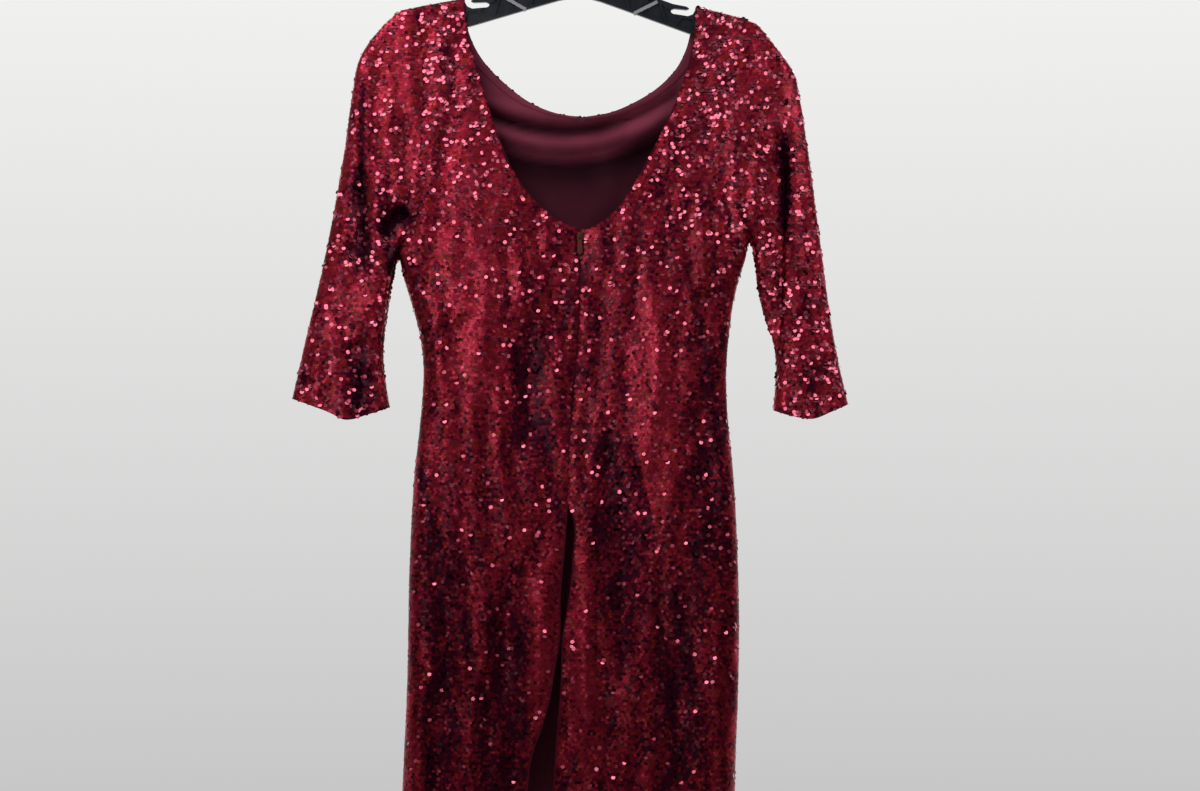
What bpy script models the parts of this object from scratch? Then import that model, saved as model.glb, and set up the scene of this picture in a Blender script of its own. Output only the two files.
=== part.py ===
# A sequinned cocktail dress that hangs on a moulded plastic hanger, with its back towards -Y.
#
# The origin is the point where the hanger's hook rests on its rail. +X is the wearer's right and +Z is up.
# All sizes are in millimetres and become metres where the meshes are made. A place in the plane of the dress
# is a pair (across, drop): across runs along X, and drop is how far the place lies below the origin.
#
# Each piece of cloth is a sheet of quads through rows worked out from its seams. Sheets that meet at a seam
# share the seam's points and normals, so their cut edges stand face to face, a seam gap apart.

import math

import bmesh
import bpy
import numpy as np

MM = 0.001

# ---- Cloth ----
CLOTH = 1.6              # sequinned knit, with its sequins
LINING = 1.0             # smooth jersey
SEAM_GAP = 0.3           # between two pieces that are sewn together
UNDERARM_GAP = 2.4       # the same where four pieces meet at the underarm
UNDERARM_REACH = 12.0    # how far from the underarm that wider gap fades

# ---- Hanger and shoulders, before the hanger tilts ----
TILT = math.radians(2.0)     # the wearer's right hangs lower
NECK = (140.0, 122.4)        # where the shoulder seam meets the neckline, on each side
SHOULDER = (198.0, 135.0)    # where the shoulder seam meets the sleeve
CREST_HALF = 8.0             # half the width of the rolled shoulder
CREST_DROP = 7.0             # how far down that roll reaches

# ---- Heights ----
UNDERARM_CENTRE = 415.0      # the row of the panels that ends at the underarms
ZIP_END = 648.0
SLIT_TOP = 722.0
HEM = 1122.0

# ---- Depth of the dress, measured from the plane of the hanger ----
# columns: drop, back, front
DEPTHS = ((122, 13, 15), (300, 18, 22), (410, 20, 25), (570, 17, 19), (750, 21, 23), (1122, 25, 26))
ARMHOLE_DEPTH = 15.0
SIDE_ROLL = 22.0             # width over which a side rounds from the seam to the full depth
UNDERARM_RISE = 45.0         # length over which the armhole opens from the underarm to that depth
SHOULDER_SETTLE = 130.0      # length over which the shoulder's roll opens to the full depth
# columns: share of the sleeve's length, half thickness
SLEEVE_DEPTHS = ((0, 15), (0.3, 14), (0.7, 12.5), (1, 14.5))

# ---- Seams and edges, as (across, drop) from top to bottom; the sleeves' from the shoulder outwards ----
LEFT = dict(
    neck_back=((-137, 150), (-119, 218), (-99, 282), (-76, 334), (-51, 365), (-28, 385), (0, 396.6)),
    neck_front=((-138, 146), (-127, 176), (-115, 194), (-92, 217), (-63, 239), (-30, 253), (3, 258)),
    armhole=((-190, 168), (-188, 240), (-191, 312), (-199, 366), (-219.5, 427)),
    side=((-216.3, 430), (-215, 436), (-213, 446), (-203, 480), (-193, 516), (-187.5, 560), (-189.5, 605),
          (-199, 696), (-204, 790), (-207.5, 948), (-212, 1050), (-215, HEM)),
    slit=((-16.5, 745), (-19.5, 786), (-23.5, 829), (-25, 888), (-31, 924), (-37, 960), (-47, 994),
          (-59, 1029), (-63, 1060), (-64, HEM)),
    sleeve_outer=((-214, 131), (-228, 141.6), (-243, 157), (-257, 175), (-266, 193), (-273, 230), (-283, 300),
                  (-306, 426), (-331, 534), (-345.6, 598)),
    sleeve_inner=((-222.8, 429.5), (-224.6, 435), (-226, 446), (-230, 466), (-234.5, 500), (-238.5, 535),
                  (-236.5, 570), (-230.4, 608.4)),
    cuff=((-322, 606), (-300, 614.4), (-282, 622.8), (-258, 617)),
)
RIGHT = dict(
    neck_back=((138, 160), (127, 211), (107, 262), (88, 300), (63, 345), (36, 380), (14, 394), (0, 396.6)),
    neck_front=((135, 152), (129, 176), (118, 198), (101, 217), (72, 237), (37, 252), (3, 258)),
    armhole=((189, 180), (186, 252), (188, 318), (193, 366), (205, 408)),
    side=((201.8, 411), (200.6, 416), (199, 426), (193, 446), (183.5, 482), (179, 516), (175, 560),
          (175.5, 600), (184, 696), (188, 770), (190.5, 860), (189, 960), (186, 1040), (185, HEM)),
    slit=((-6.6, 745), (-7.5, 786), (-11.5, 829), (-15, 852), (-20, 882), (-21.6, 931), (-26, 990),
          (-30, 1049), (-31, HEM)),
    sleeve_outer=((211, 147), (223, 160), (234.5, 174.5), (247, 191), (256, 205), (263, 234), (273.6, 300),
                  (290.4, 426), (306, 534), (321.6, 605)),
    sleeve_inner=((208.2, 410.5), (210.2, 416), (212.5, 427), (215, 450), (218.5, 474), (225, 502),
                  (234, 528), (237.5, 556), (236, 585), (233.5, 612)),
    cuff=((302, 613), (280, 621.6), (256, 618.5)),
)
UNDERARMS = (LEFT["armhole"][-1], RIGHT["armhole"][-1])
CENTRE_BACK = ((0, 396.6), (-2, 516), (-12, 640), (-15, SLIT_TOP))
CENTRE_FRONT = ((3, 258), (-2, 516), (-10, 760), (-14, HEM))

# ---- Largest folds, sunk into the cloth; a negative depth stands proud ----
# columns: across and drop at the fold's top, across and drop at its bottom, half width, depth
BACK_FOLDS = (
    (-262, 318, -262, 468, 10, 6.0),      # down the left sleeve
    (-268, 520, -262, 640, 13, 5.0),      # over the left cuff
    (-244, 402, -204, 370, 13, 9.0),      # tucked under the left arm
    (-163, 690, -165, 1240, 18, 4.5),
    (-122, 190, -124, 700, 40, -4.0),     # broad swell of the left back
    (-88, 790, -93, 1260, 20, 6.0),
    (-61, 480, -60, 690, 17, 4.5),
    (-42, 760, -48, 1010, 14, -3.0),
    (10, 740, 2, 1060, 13, -3.5),
    (32, 600, 28, 880, 12, 3.5),
    (54, 620, 50, 960, 14, 5.5),
    (88, 420, 92, 760, 22, -3.0),
    (122, 760, 118, 1230, 20, 4.0),
    (158, 500, 160, 860, 16, 3.0),
)
FRONT_FOLDS = (
    (-262, 340, -268, 520, 12, 4.0),
    (238, 300, 262, 480, 12, 4.5),
    (-120, 300, -70, 560, 24, 4.0),
    (-150, 640, -154, 1000, 20, 3.5),
    (-84, 560, -90, 1230, 24, 5.0),
    (-14, 620, -18, 980, 22, -3.5),
    (52, 540, 58, 1230, 24, 5.0),
    (104, 320, 66, 540, 24, 3.5),
    (128, 700, 126, 1200, 20, 4.0),
)
# The right sleeve's inner part lies behind its outer part, along this line.
TUCK = dict(line=((246, 276), (246, 340), (245, 460), (241, 545)), width=9.0, depth=9.0)
# The front sags in swags between the shoulders, under its neckline.
SWAG = dict(middle=(-18.0, 272.0), curl=0.00233, reach=86.0, fade=74.0)
# columns: distance below the swag's line, half width, depth away from the back
SWAG_WAVES = ((-14, 7, -2.0), (0, 9, 5.5), (21, 12, -6.5), (50, 22, 7.0), (92, 26, -2.5))

FULL_RELIEF = 8.0            # the folds fade where the dress is shallower than this
SHALLOWEST = 0.35            # share of the plain depth that the deepest fold leaves

# ---- Rows and columns of the sheets ----
CREST_ROWS = (0, 0.5, 2.2, 7)              # lengths down the neckline, over the rolled shoulder
NECK_ROWS = dict(back=11, front=8)         # rows below them, down to the neckline's lowest point
NECK_START = 20.0                          # length down the neckline to the first of those
BACK_CHEST_ROWS = (404, 410, UNDERARM_CENTRE)
FRONT_CHEST_ROWS = (290, 326, 360, 386, 402, 410, UNDERARM_CENTRE)
WAIST_ROWS = (420, 432, *np.linspace(460, SLIT_TOP, 9))
SKIRT_ROWS = tuple(np.linspace(SLIT_TOP, HEM, 13)[1:])
SIDE_COLUMNS = (0, 0.4, 2.6, 8)            # widths from a side's seam, over its rounding
ARMHOLE_COLUMNS = (0, 4, 8, 13)            # the same from an armhole's seam
EVEN_COLUMNS = dict(back=10, front=7)      # columns from there to the neckline or the centre
SLEEVE_ROWS = (0, 0.02, 0.06, 0.12, 0.21, 0.32, 0.45, 0.6, 0.74, 0.88, 1)
LINING_FIRST_ROW = 5
LINING_FIRST_COLUMN = 3

# ---- Hanger: the right arm's outline, before the tilt ----
ARM_HALF = 4.5               # half the arm's thickness
ARM_CLEAR = 1.5              # below the middle of the shoulder's cloth
ARM_TIP = 6.0                # how far the arm reaches past the shoulder seam
ARM_BEVEL = 0.9
WEB = 3.0                    # thickness left between the pockets
HOOK_RADIUS = 23.5           # to the middle of the hook's rod
HOOK_ROD = 4.2               # the rod's radius

# ---- Zip ----
TAPE_WIDTH = 12.0
TAPE = 1.0
SLIDER = dict(width=7.0, height=10.0, thick=2.0)
SLIDER_DROP = 404.0          # drop of the pull tab's axis
BRIDGE = dict(width=1.8, height=5.2, clear=2.6, wall=0.9)
PULL = dict(length=22.0, width=6.6, neck=5.0, thick=1.2, bar=0.7, window_width=3.0, window_length=4.2)


# ---- Small helpers ----

def smooth_step(value):
    """0 below 0, 1 above 1, and a smooth rise between."""
    value = np.clip(value, 0, 1)
    return value * value * (3 - 2 * value)


def roll(value):
    """Quarter circle: 0 at 0, 1 from 1 on, upright where it starts."""
    value = np.clip(value, 0, 1)
    return np.sqrt(1 - (1 - value) ** 2)


def smooth_line(points, samples=12):
    """Dense points on a Hermite curve through the given ones, spaced by their distances."""
    points = np.array(points, float)
    knots = np.concatenate(([0], np.cumsum(np.linalg.norm(np.diff(points, axis=0), axis=1))))
    slopes = np.gradient(points, knots, axis=0)
    at = np.unique(np.concatenate([np.linspace(a, b, samples) for a, b in zip(knots, knots[1:])]))
    cell = np.clip(np.searchsorted(knots, at, side="right") - 1, 0, len(knots) - 2)
    step = (knots[cell + 1] - knots[cell])[:, None]
    u = (at - knots[cell])[:, None] / step
    return ((1 + 2 * u) * (1 - u) ** 2 * points[cell] + u * (1 - u) ** 2 * step * slopes[cell]
            + u * u * (3 - 2 * u) * points[cell + 1] + u * u * (u - 1) * step * slopes[cell + 1])


def lengths(line):
    """Length along a line, at each of its points."""
    return np.concatenate(([0], np.cumsum(np.linalg.norm(np.diff(line, axis=0), axis=1))))


def at_length(line, length):
    """Points of a line at the given lengths."""
    along = lengths(line)
    return np.stack([np.interp(length, along, line[:, axis]) for axis in (0, 1)], -1)


def at_drop(line, drop):
    """Points of a falling line at the given drops."""
    return np.stack([np.interp(drop, line[:, 1], line[:, 0]), np.broadcast_to(drop, np.shape(drop))], -1)


def tilted(across, drop):
    """A place on the level hanger, after the hanger tilts about its hook."""
    return across * math.cos(TILT), drop + across * math.sin(TILT)


# ---- Form of the cloth ----

def crest(below):
    """Half width of the rolled shoulder at a distance below the shoulder seam."""
    return CREST_HALF * (1 - (1 - np.clip(below / CREST_DROP, 0, 1)) ** 3) ** (1 / 3)


def folds_at(folds, across, drop):
    """Relief of a table of folds: each is a trough that fades towards its ends."""
    relief = np.zeros(np.shape(across))
    for across_0, drop_0, across_1, drop_1, half_width, depth in folds:
        run = np.array((across_1 - across_0, drop_1 - drop_0))
        length = np.linalg.norm(run)
        along = ((across - across_0) * run[0] + (drop - drop_0) * run[1]) / length ** 2
        aside = ((across - across_0) * run[1] - (drop - drop_0) * run[0]) / length
        ends = smooth_step(along / 0.3) * smooth_step((1 - along) / 0.3)
        relief -= depth * ends * np.exp(-(aside / half_width) ** 2)
    return relief


def back_relief(across, drop):
    """How far the back's folds stand out of its plain form."""
    line = smooth_line(TUCK["line"])
    inside = np.interp(drop, line[:, 1], line[:, 0]) - across
    window = smooth_step((drop - 270) / 70) * smooth_step((560 - drop) / 60)
    on_sleeve = smooth_step((across - 198) / 22)
    tuck = TUCK["depth"] * window * on_sleeve * smooth_step(inside / TUCK["width"] + 0.5)
    return folds_at(BACK_FOLDS, across, drop) - tuck


def front_relief(across, drop):
    """How far the front's folds and swags stand out of its plain form."""
    middle, level = SWAG["middle"]
    below = drop - (level - SWAG["curl"] * (across - middle) ** 2)
    spread = smooth_step((SWAG["reach"] + SWAG["fade"] - np.abs(across - middle)) / SWAG["fade"])
    swags = sum(depth * np.exp(-((below - place) / half_width) ** 2)
                for place, half_width, depth in SWAG_WAVES)
    return folds_at(FRONT_FOLDS, across, drop) + swags * spread


SIDES_OF_CLOTH = dict(back=(-1, 1, back_relief), front=(1, 2, front_relief))


def in_space(places, height, face):
    """Points in millimetres of a sheet that stands a height out of the hanger's plane, with its folds."""
    sign, _, relief = SIDES_OF_CLOTH[face]
    across, drop = places[..., 0], places[..., 1]
    out = height + relief(across, drop) * np.clip(height / FULL_RELIEF, 0, 1)
    return np.stack([across, sign * np.maximum(out, SHALLOWEST * height), -drop], -1)


def full_depth(drop, face):
    """Depth of the back or the front away from its edges, at the given drops."""
    line = smooth_line([(row[0], row[SIDES_OF_CLOTH[face][1]]) for row in DEPTHS])
    return np.interp(drop, line[:, 0], line[:, 1])


def half_panel(side, face):
    """Rows of half the back or the front, from the outer seam (first column) to the neckline and centre."""
    sign = -1 if side is LEFT else 1
    neck_point, shoulder = (tilted(sign * place[0], place[1]) for place in (NECK, SHOULDER))
    neck = smooth_line((neck_point, *side["neck_" + face]))
    armhole = smooth_line((shoulder, *side["armhole"]))
    underarm = side["armhole"][-1]
    outer_line = np.concatenate((armhole, smooth_line((underarm, *side["side"]))[1:]))

    neck_lengths = np.concatenate((CREST_ROWS, np.linspace(NECK_START, lengths(neck)[-1], NECK_ROWS[face])))
    inner = at_length(neck, neck_lengths)
    if face == "back":
        centre = at_drop(smooth_line(CENTRE_BACK), np.array((*BACK_CHEST_ROWS, *WAIST_ROWS)))
        slit = smooth_line((CENTRE_BACK[-1], *side["slit"]))
        inner = np.concatenate((inner, centre, at_drop(slit, np.array(SKIRT_ROWS))))
    else:
        drops = np.array((*FRONT_CHEST_ROWS, *WAIST_ROWS, *SKIRT_ROWS))
        inner = np.concatenate((inner, at_drop(smooth_line(CENTRE_FRONT), drops)))

    outer_drop = np.interp(inner[:, 1], (neck_point[1], UNDERARM_CENTRE, HEM),
                           (shoulder[1], underarm[1], HEM))
    outer = at_drop(outer_line, outer_drop)
    closing = 1 - (1 - np.clip((underarm[1] - outer_drop) / UNDERARM_RISE, 0, 1)) ** 2
    width = np.linalg.norm(inner - outer, axis=1)[:, None]
    open_share = np.clip(3 * closing, 0, 1)[:, None]
    rounded = (SIDE_COLUMNS * (1 - open_share) + ARMHOLE_COLUMNS * open_share) / width
    even = np.linspace(0, 1, EVEN_COLUMNS[face] + 1)[None, 1:]
    share = np.concatenate((rounded, rounded[:, -1:] + (1 - rounded[:, -1:]) * even), 1)[..., None]
    places = outer[:, None] * (1 - share) + inner[:, None] * share

    below = outer_drop - shoulder[1]
    full = full_depth(inner[:, 1], face)
    settled = smooth_step(below / SHOULDER_SETTLE)
    depth = crest(below) + (full - CREST_HALF) * settled
    armhole_depth = (crest(below) + (ARMHOLE_DEPTH - CREST_HALF) * settled) * closing
    inward = np.abs(places[..., 0] - outer[:, None, 0]) / SIDE_ROLL
    rounding = (1 - armhole_depth / ARMHOLE_DEPTH)[:, None]
    ease = rounding * roll(inward) + (1 - rounding) * smooth_step(inward)
    height = armhole_depth[:, None] + (depth - armhole_depth)[:, None] * ease
    armhole_rows = int(np.argmin(np.abs(outer_drop - underarm[1]))) + 1
    return dict(places=places, height=height, points=in_space(places, height, face),
                armhole_rows=armhole_rows, neck_rows=len(neck_lengths))


def sleeve_face(side, armhole, face):
    """Half a sleeve's grid: rows from the armhole to the cuff, columns from the outer edge to the underarm."""
    sign = -1 if side is LEFT else 1
    seam = armhole["places"][:armhole["armhole_rows"], 0]
    seam_height = armhole["height"][:armhole["armhole_rows"], 0]
    outer_edge = smooth_line((tilted(sign * SHOULDER[0], SHOULDER[1]), *side["sleeve_outer"]))
    inner_edge = smooth_line((side["armhole"][-1], *side["sleeve_inner"]))
    cuff_edge = smooth_line((side["sleeve_outer"][-1], *side["cuff"], side["sleeve_inner"][-1]))

    rows = np.array(SLEEVE_ROWS)
    outer = at_length(outer_edge, rows * lengths(outer_edge)[-1])[:, None]
    inner = at_length(inner_edge, rows * lengths(inner_edge)[-1])[:, None]
    down = rows[:, None, None]
    share = (lengths(seam) / lengths(seam)[-1])[None, :, None]
    cuff = at_length(cuff_edge, share[0, :, 0] * lengths(cuff_edge)[-1])[None]
    chord_top = outer[:1] * (1 - share) + inner[:1] * share
    chord_cuff = outer[-1:] * (1 - share) + inner[-1:] * share
    places = (outer * (1 - share) + inner * share
              + (1 - down) * (seam[None] - chord_top) + down * (cuff - chord_cuff))

    table = np.array(SLEEVE_DEPTHS, float)
    lens = np.sqrt(1 - (1 - 2 * share[..., 0]) ** 4)
    tube = np.interp(rows, table[:, 0], table[:, 1])[:, None] * lens
    leave = smooth_step(rows / 0.35)[:, None]
    height = seam_height[None] * (1 - leave) + tube * leave
    return in_space(places, height, face)


# ---- Sheets: vertices and quads of a piece's middle surface ----

def grid_quads(rows, columns, closed=False, flip=False):
    """Quads of a grid of vertices, which may close round on its columns."""
    index = np.arange(rows * columns).reshape(rows, columns)
    if closed:
        index = np.concatenate((index, index[:, :1]), 1)
    quads = np.stack((index[:-1, :-1], index[1:, :-1], index[1:, 1:], index[:-1, 1:]), -1).reshape(-1, 4)
    return quads[:, ::-1] if flip else quads


def outward(points, quads, face):
    """The quads, turned if need be so that they point out of the dress."""
    corner = points[quads]
    normal = np.cross(corner[:, 2] - corner[:, 0], corner[:, 3] - corner[:, 1])
    return quads if normal[:, 1].sum() * SIDES_OF_CLOTH[face][0] > 0 else quads[:, ::-1]


def join_halves(left, right, first_row, first_column, neck_rows):
    """One sheet from both halves of the front, which share their centre line below the neckline."""
    halves = [half[first_row:, first_column:] for half in (left, right)]
    rows, columns = halves[0].shape[:2]
    points = np.concatenate([half.reshape(-1, 3) for half in halves])
    count = rows * columns
    quads = np.concatenate((grid_quads(rows, columns), grid_quads(rows, columns, flip=True) + count))
    shared = np.arange(neck_rows - 1 - first_row, rows) * columns + columns - 1
    place = np.arange(2 * count)
    place[shared + count] = shared
    kept, quads = np.unique(place[quads], return_inverse=True)
    quads = quads.reshape(-1, 4)
    return points[kept], outward(points[kept], quads, "front")


def quad_normals(points, quads):
    """Unit normals of the quads."""
    corner = points[quads]
    normal = np.cross(corner[:, 2] - corner[:, 0], corner[:, 3] - corner[:, 1])
    return normal / np.linalg.norm(normal, axis=1)[:, None]


def shared_offsets(sheets):
    """For each sheet, its vertices' normals, shared by all vertices at one place and lengthened at a bend so
    that the walls on both sides of it keep their thickness. At the underarm each sheet keeps its own."""
    keys = {}
    for name, (points, _) in sheets.items():
        alone = min_distance(points, UNDERARMS) < 0.01
        keys[name] = [(*key, name if own else "") for key, own in zip(np.round(points, 3).tolist(), alone)]
    faces_at = {}
    for name, (points, quads) in sheets.items():
        for quad, normal in zip(quads, quad_normals(points, quads)):
            for vertex in quad:
                faces_at.setdefault(keys[name][vertex], []).append(normal)
    offset_at = {}
    for key, normals in faces_at.items():
        mean = np.sum(normals, 0)
        mean /= np.linalg.norm(mean)
        offset_at[key] = mean / max(0.4, float(np.mean(np.array(normals) @ mean)))
    return {name: np.array([offset_at[key] for key in keys[name]]) for name in sheets}


def edge_vertices(quads):
    """Directed edges that belong to one quad only."""
    edges = np.concatenate([np.stack((quads[:, i], quads[:, (i + 1) % 4]), 1) for i in range(4)])
    known = {tuple(edge) for edge in edges}
    return [edge for edge in known if edge[::-1] not in known]


def seam_half_gap(points):
    """How far each point of a cut edge stands back from its seam."""
    near = min_distance(points, UNDERARMS)
    return (SEAM_GAP + (UNDERARM_GAP - SEAM_GAP) * np.clip(1 - near / UNDERARM_REACH, 0, 1)) / 2


def min_distance(points, places):
    """Distance of each point to the nearest of some places in the hanger's plane."""
    spots = np.array([(across, 0, -drop) for across, drop in places])
    return np.linalg.norm(points[:, None] - spots[None], axis=2).min(1)


def drawn_in(points, quads, offsets):
    """The points, with those on the sheet's edges drawn in along the sheet, square to the edge."""
    edges = np.array(edge_vertices(quads))
    run = points[edges[:, 1]] - points[edges[:, 0]]
    run /= np.linalg.norm(run, axis=1)[:, None]
    along = np.zeros_like(points)
    for end in (0, 1):
        np.add.at(along, edges[:, end], run / 2)
    at = np.unique(edges)
    inward = np.cross(offsets[at], along[at])
    inward /= np.linalg.norm(inward, axis=1)[:, None]
    corner = np.maximum(0.6, np.linalg.norm(along[at], axis=1))[:, None]
    moved = points.copy()
    moved[at] += inward * seam_half_gap(points[at])[:, None] / corner
    return moved


# ---- Objects ----

def new_material(name, colour, roughness, metallic=0.0):
    """A Principled material."""
    material = bpy.data.materials.new(name)
    material.use_nodes = True
    shader = material.node_tree.nodes["Principled BSDF"]
    shader.inputs["Base Color"].default_value = (*colour, 1)
    shader.inputs["Roughness"].default_value = roughness
    shader.inputs["Metallic"].default_value = metallic
    return material


def new_object(name, vertices, faces, collection, material, smooth=False):
    """An object from vertices in millimetres."""
    mesh = bpy.data.meshes.new(name)
    mesh.from_pydata((np.asarray(vertices) * MM).tolist(), [], [list(map(int, face)) for face in faces])
    mesh.validate()
    mesh.materials.append(material)
    if smooth:
        mesh.shade_smooth()
    obj = bpy.data.objects.new(name, mesh)
    collection.objects.link(obj)
    return obj


def split_quads(points, quads):
    """Triangles of the quads, each split along its shorter diagonal."""
    corner = points[quads]
    falling = np.linalg.norm(corner[:, 2] - corner[:, 0], axis=1)
    rising = np.linalg.norm(corner[:, 3] - corner[:, 1], axis=1)
    order = np.where((falling <= rising)[:, None, None], ((0, 1, 2), (0, 2, 3)), ((1, 2, 3), (1, 3, 0)))
    return np.take_along_axis(quads[:, None, :], order, 2).reshape(-1, 3)


def cloth_wall(name, points, quads, triangles, offsets, thickness, collection, material):
    """A closed wall of cloth on both sides of a sheet, with its cut edges. Both sides are split alike, so
    that they keep apart where a quad is twisted."""
    count = len(points)
    outer = points + offsets * thickness / 2
    inner = points - offsets * thickness / 2
    rim = [(a, a + count, b + count, b) for a, b in edge_vertices(quads)]
    faces = [*triangles, *(triangles[:, ::-1] + count), *rim]
    return new_object(name, np.concatenate((outer, inner)), faces, collection, material, smooth=True)


def make_cloth(collection, materials):
    """All the sewn pieces; returns the left and right backs, which the zip is set on."""
    backs = {side: half_panel(table, "back") for side, table in (("left", LEFT), ("right", RIGHT))}
    fronts = {side: half_panel(table, "front") for side, table in (("left", LEFT), ("right", RIGHT))}

    sheets = {}
    for side, table in (("left", LEFT), ("right", RIGHT)):
        points = backs[side]["points"]
        rows, columns = points.shape[:2]
        flat = points.reshape(-1, 3)
        sheets["back_" + side] = (flat, outward(flat, grid_quads(rows, columns), "back"))

        back_face = sleeve_face(table, backs[side], "back")
        front_face = sleeve_face(table, fronts[side], "front")
        ring = np.concatenate((back_face, front_face[:, -2:0:-1]), 1)
        flat = ring.reshape(-1, 3)
        quads = grid_quads(*ring.shape[:2], closed=True)
        back_quads = quads.reshape(ring.shape[0] - 1, ring.shape[1], 4)[:, :back_face.shape[1] - 1].reshape(-1, 4)
        turned = outward(flat, back_quads, "back") is not back_quads
        sheets["sleeve_" + side] = (flat, quads[:, ::-1] if turned else quads)

    neck_rows = fronts["left"]["neck_rows"]
    halves = (fronts["left"]["points"], fronts["right"]["points"])
    sheets["front"] = join_halves(*halves, 0, 0, neck_rows)
    offsets = shared_offsets(sheets)
    for name, (points, quads) in sheets.items():
        triangles = split_quads(points, quads)
        points = drawn_in(points, quads, offsets[name])
        cloth_wall(name, points, quads, triangles, offsets[name], CLOTH, collection, materials["sequins"])
    make_lining(halves, neck_rows, sheets["front"][0], offsets["front"], collection, materials["lining"])
    return backs, offsets


def make_lining(halves, neck_rows, front_points, front_offsets, collection, material):
    """The front's lining: its own points, moved in, from below the shoulders to the hem."""
    points, quads = join_halves(*halves, LINING_FIRST_ROW, LINING_FIRST_COLUMN, neck_rows)
    offset_at = {tuple(key): offset for key, offset in zip(np.round(front_points, 3), front_offsets)}
    offsets = np.array([offset_at[tuple(key)] for key in np.round(points, 3)])
    triangles = split_quads(points, quads)
    points = points - offsets * (CLOTH / 2 + SEAM_GAP + LINING / 2)
    cloth_wall("front_lining", points, quads, triangles, offsets, LINING, collection, material)


# ---- Zip ----

def make_tapes(backs, offsets, collection, material):
    """Zip tapes, which lie inside the backs along the centre seam."""
    for side, back in backs.items():
        points = back["points"]
        normals = offsets["back_" + side].reshape(points.shape)
        drop = -points[:, -1, 2]
        rows = np.where((drop >= CENTRE_BACK[0][1] - 1) & (drop <= ZIP_END + 5))[0]
        width = np.abs(points[rows, -1, 0] - points[rows, -2, 0])
        strip = []
        for distance in (SEAM_GAP, TAPE_WIDTH):
            share = (distance / width)[:, None]
            on_panel = points[rows, -1] * (1 - share) + points[rows, -2] * share
            normal = normals[rows, -1] * (1 - share) + normals[rows, -2] * share
            strip.append(np.stack((on_panel - normal * (CLOTH / 2 + SEAM_GAP + TAPE / 2), normal)))
        sheet, normal = np.stack(strip, 2)
        flat = sheet.reshape(-1, 3)
        quads = outward(flat, grid_quads(*sheet.shape[:2]), "back")
        offsets_here = normal.reshape(-1, 3)
        triangles = split_quads(flat, quads)
        cloth_wall("zip_tape_" + side, flat, quads, triangles, offsets_here, TAPE, collection, material)


def add_box(mesh, centre, size):
    """A box in a bmesh, in millimetres."""
    made = bmesh.ops.create_cube(mesh, size=1)["verts"]
    for vertex in made:
        vertex.co = [centre[axis] + vertex.co[axis] * size[axis] for axis in range(3)]


def finish_mesh(name, mesh, collection, material, bevel=0.0):
    """An object in metres from a bmesh in millimetres."""
    bmesh.ops.recalc_face_normals(mesh, faces=mesh.faces)
    for vertex in mesh.verts:
        vertex.co *= MM
    data = bpy.data.meshes.new(name)
    mesh.to_mesh(data)
    mesh.free()
    data.materials.append(material)
    obj = bpy.data.objects.new(name, data)
    collection.objects.link(obj)
    if bevel:
        modifier = obj.modifiers.new("Bevel", "BEVEL")
        modifier.width = bevel * MM
        modifier.segments = 1
        modifier.limit_method = "ANGLE"
    return obj


def boolean(obj, other, operation):
    """Join or cut with another object, which is used up."""
    modifier = obj.modifiers.new(operation.title(), "BOOLEAN")
    modifier.operation = operation
    modifier.object = other
    bpy.context.view_layer.update()
    graph = bpy.context.evaluated_depsgraph_get()
    mesh = bpy.data.meshes.new_from_object(obj.evaluated_get(graph))
    obj.modifiers.clear()
    old = obj.data
    obj.data = mesh
    bpy.data.meshes.remove(old)
    bpy.data.objects.remove(other)


def make_slider(centre, collection, material):
    """Slider: a rounded plate on the seam, with a bridge that holds the pull tab's bar."""
    across, face, drop = centre
    body = bmesh.new()
    thick = SLIDER["thick"]
    add_box(body, (across, face - thick / 2, -drop), (SLIDER["width"], thick, SLIDER["height"]))
    slider = finish_mesh("zip_slider", body, collection, material, bevel=0.6)

    wall, clear = BRIDGE["wall"], BRIDGE["clear"]
    reach = BRIDGE["height"] / 2
    arch = ((-reach, -1), (-reach, clear + wall - 0.6), (-reach + 0.6, clear + wall),
            (reach - 0.6, clear + wall), (reach, clear + wall - 0.6), (reach, -1),
            (reach - wall, -1), (reach - wall, clear), (wall - reach, clear), (wall - reach, -1))
    bridge = bmesh.new()
    half = BRIDGE["width"] / 2
    ends = [[bridge.verts.new((across + x, face - thick - out, up - drop)) for up, out in arch]
            for x in (-half, half)]
    bridge.faces.new(ends[0])
    bridge.faces.new(ends[1][::-1])
    for i in range(len(arch)):
        j = (i + 1) % len(arch)
        bridge.faces.new((ends[0][i], ends[1][i], ends[1][j], ends[0][j]))
    boolean(slider, finish_mesh("bridge", bridge, collection, material), "UNION")
    return slider


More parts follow.
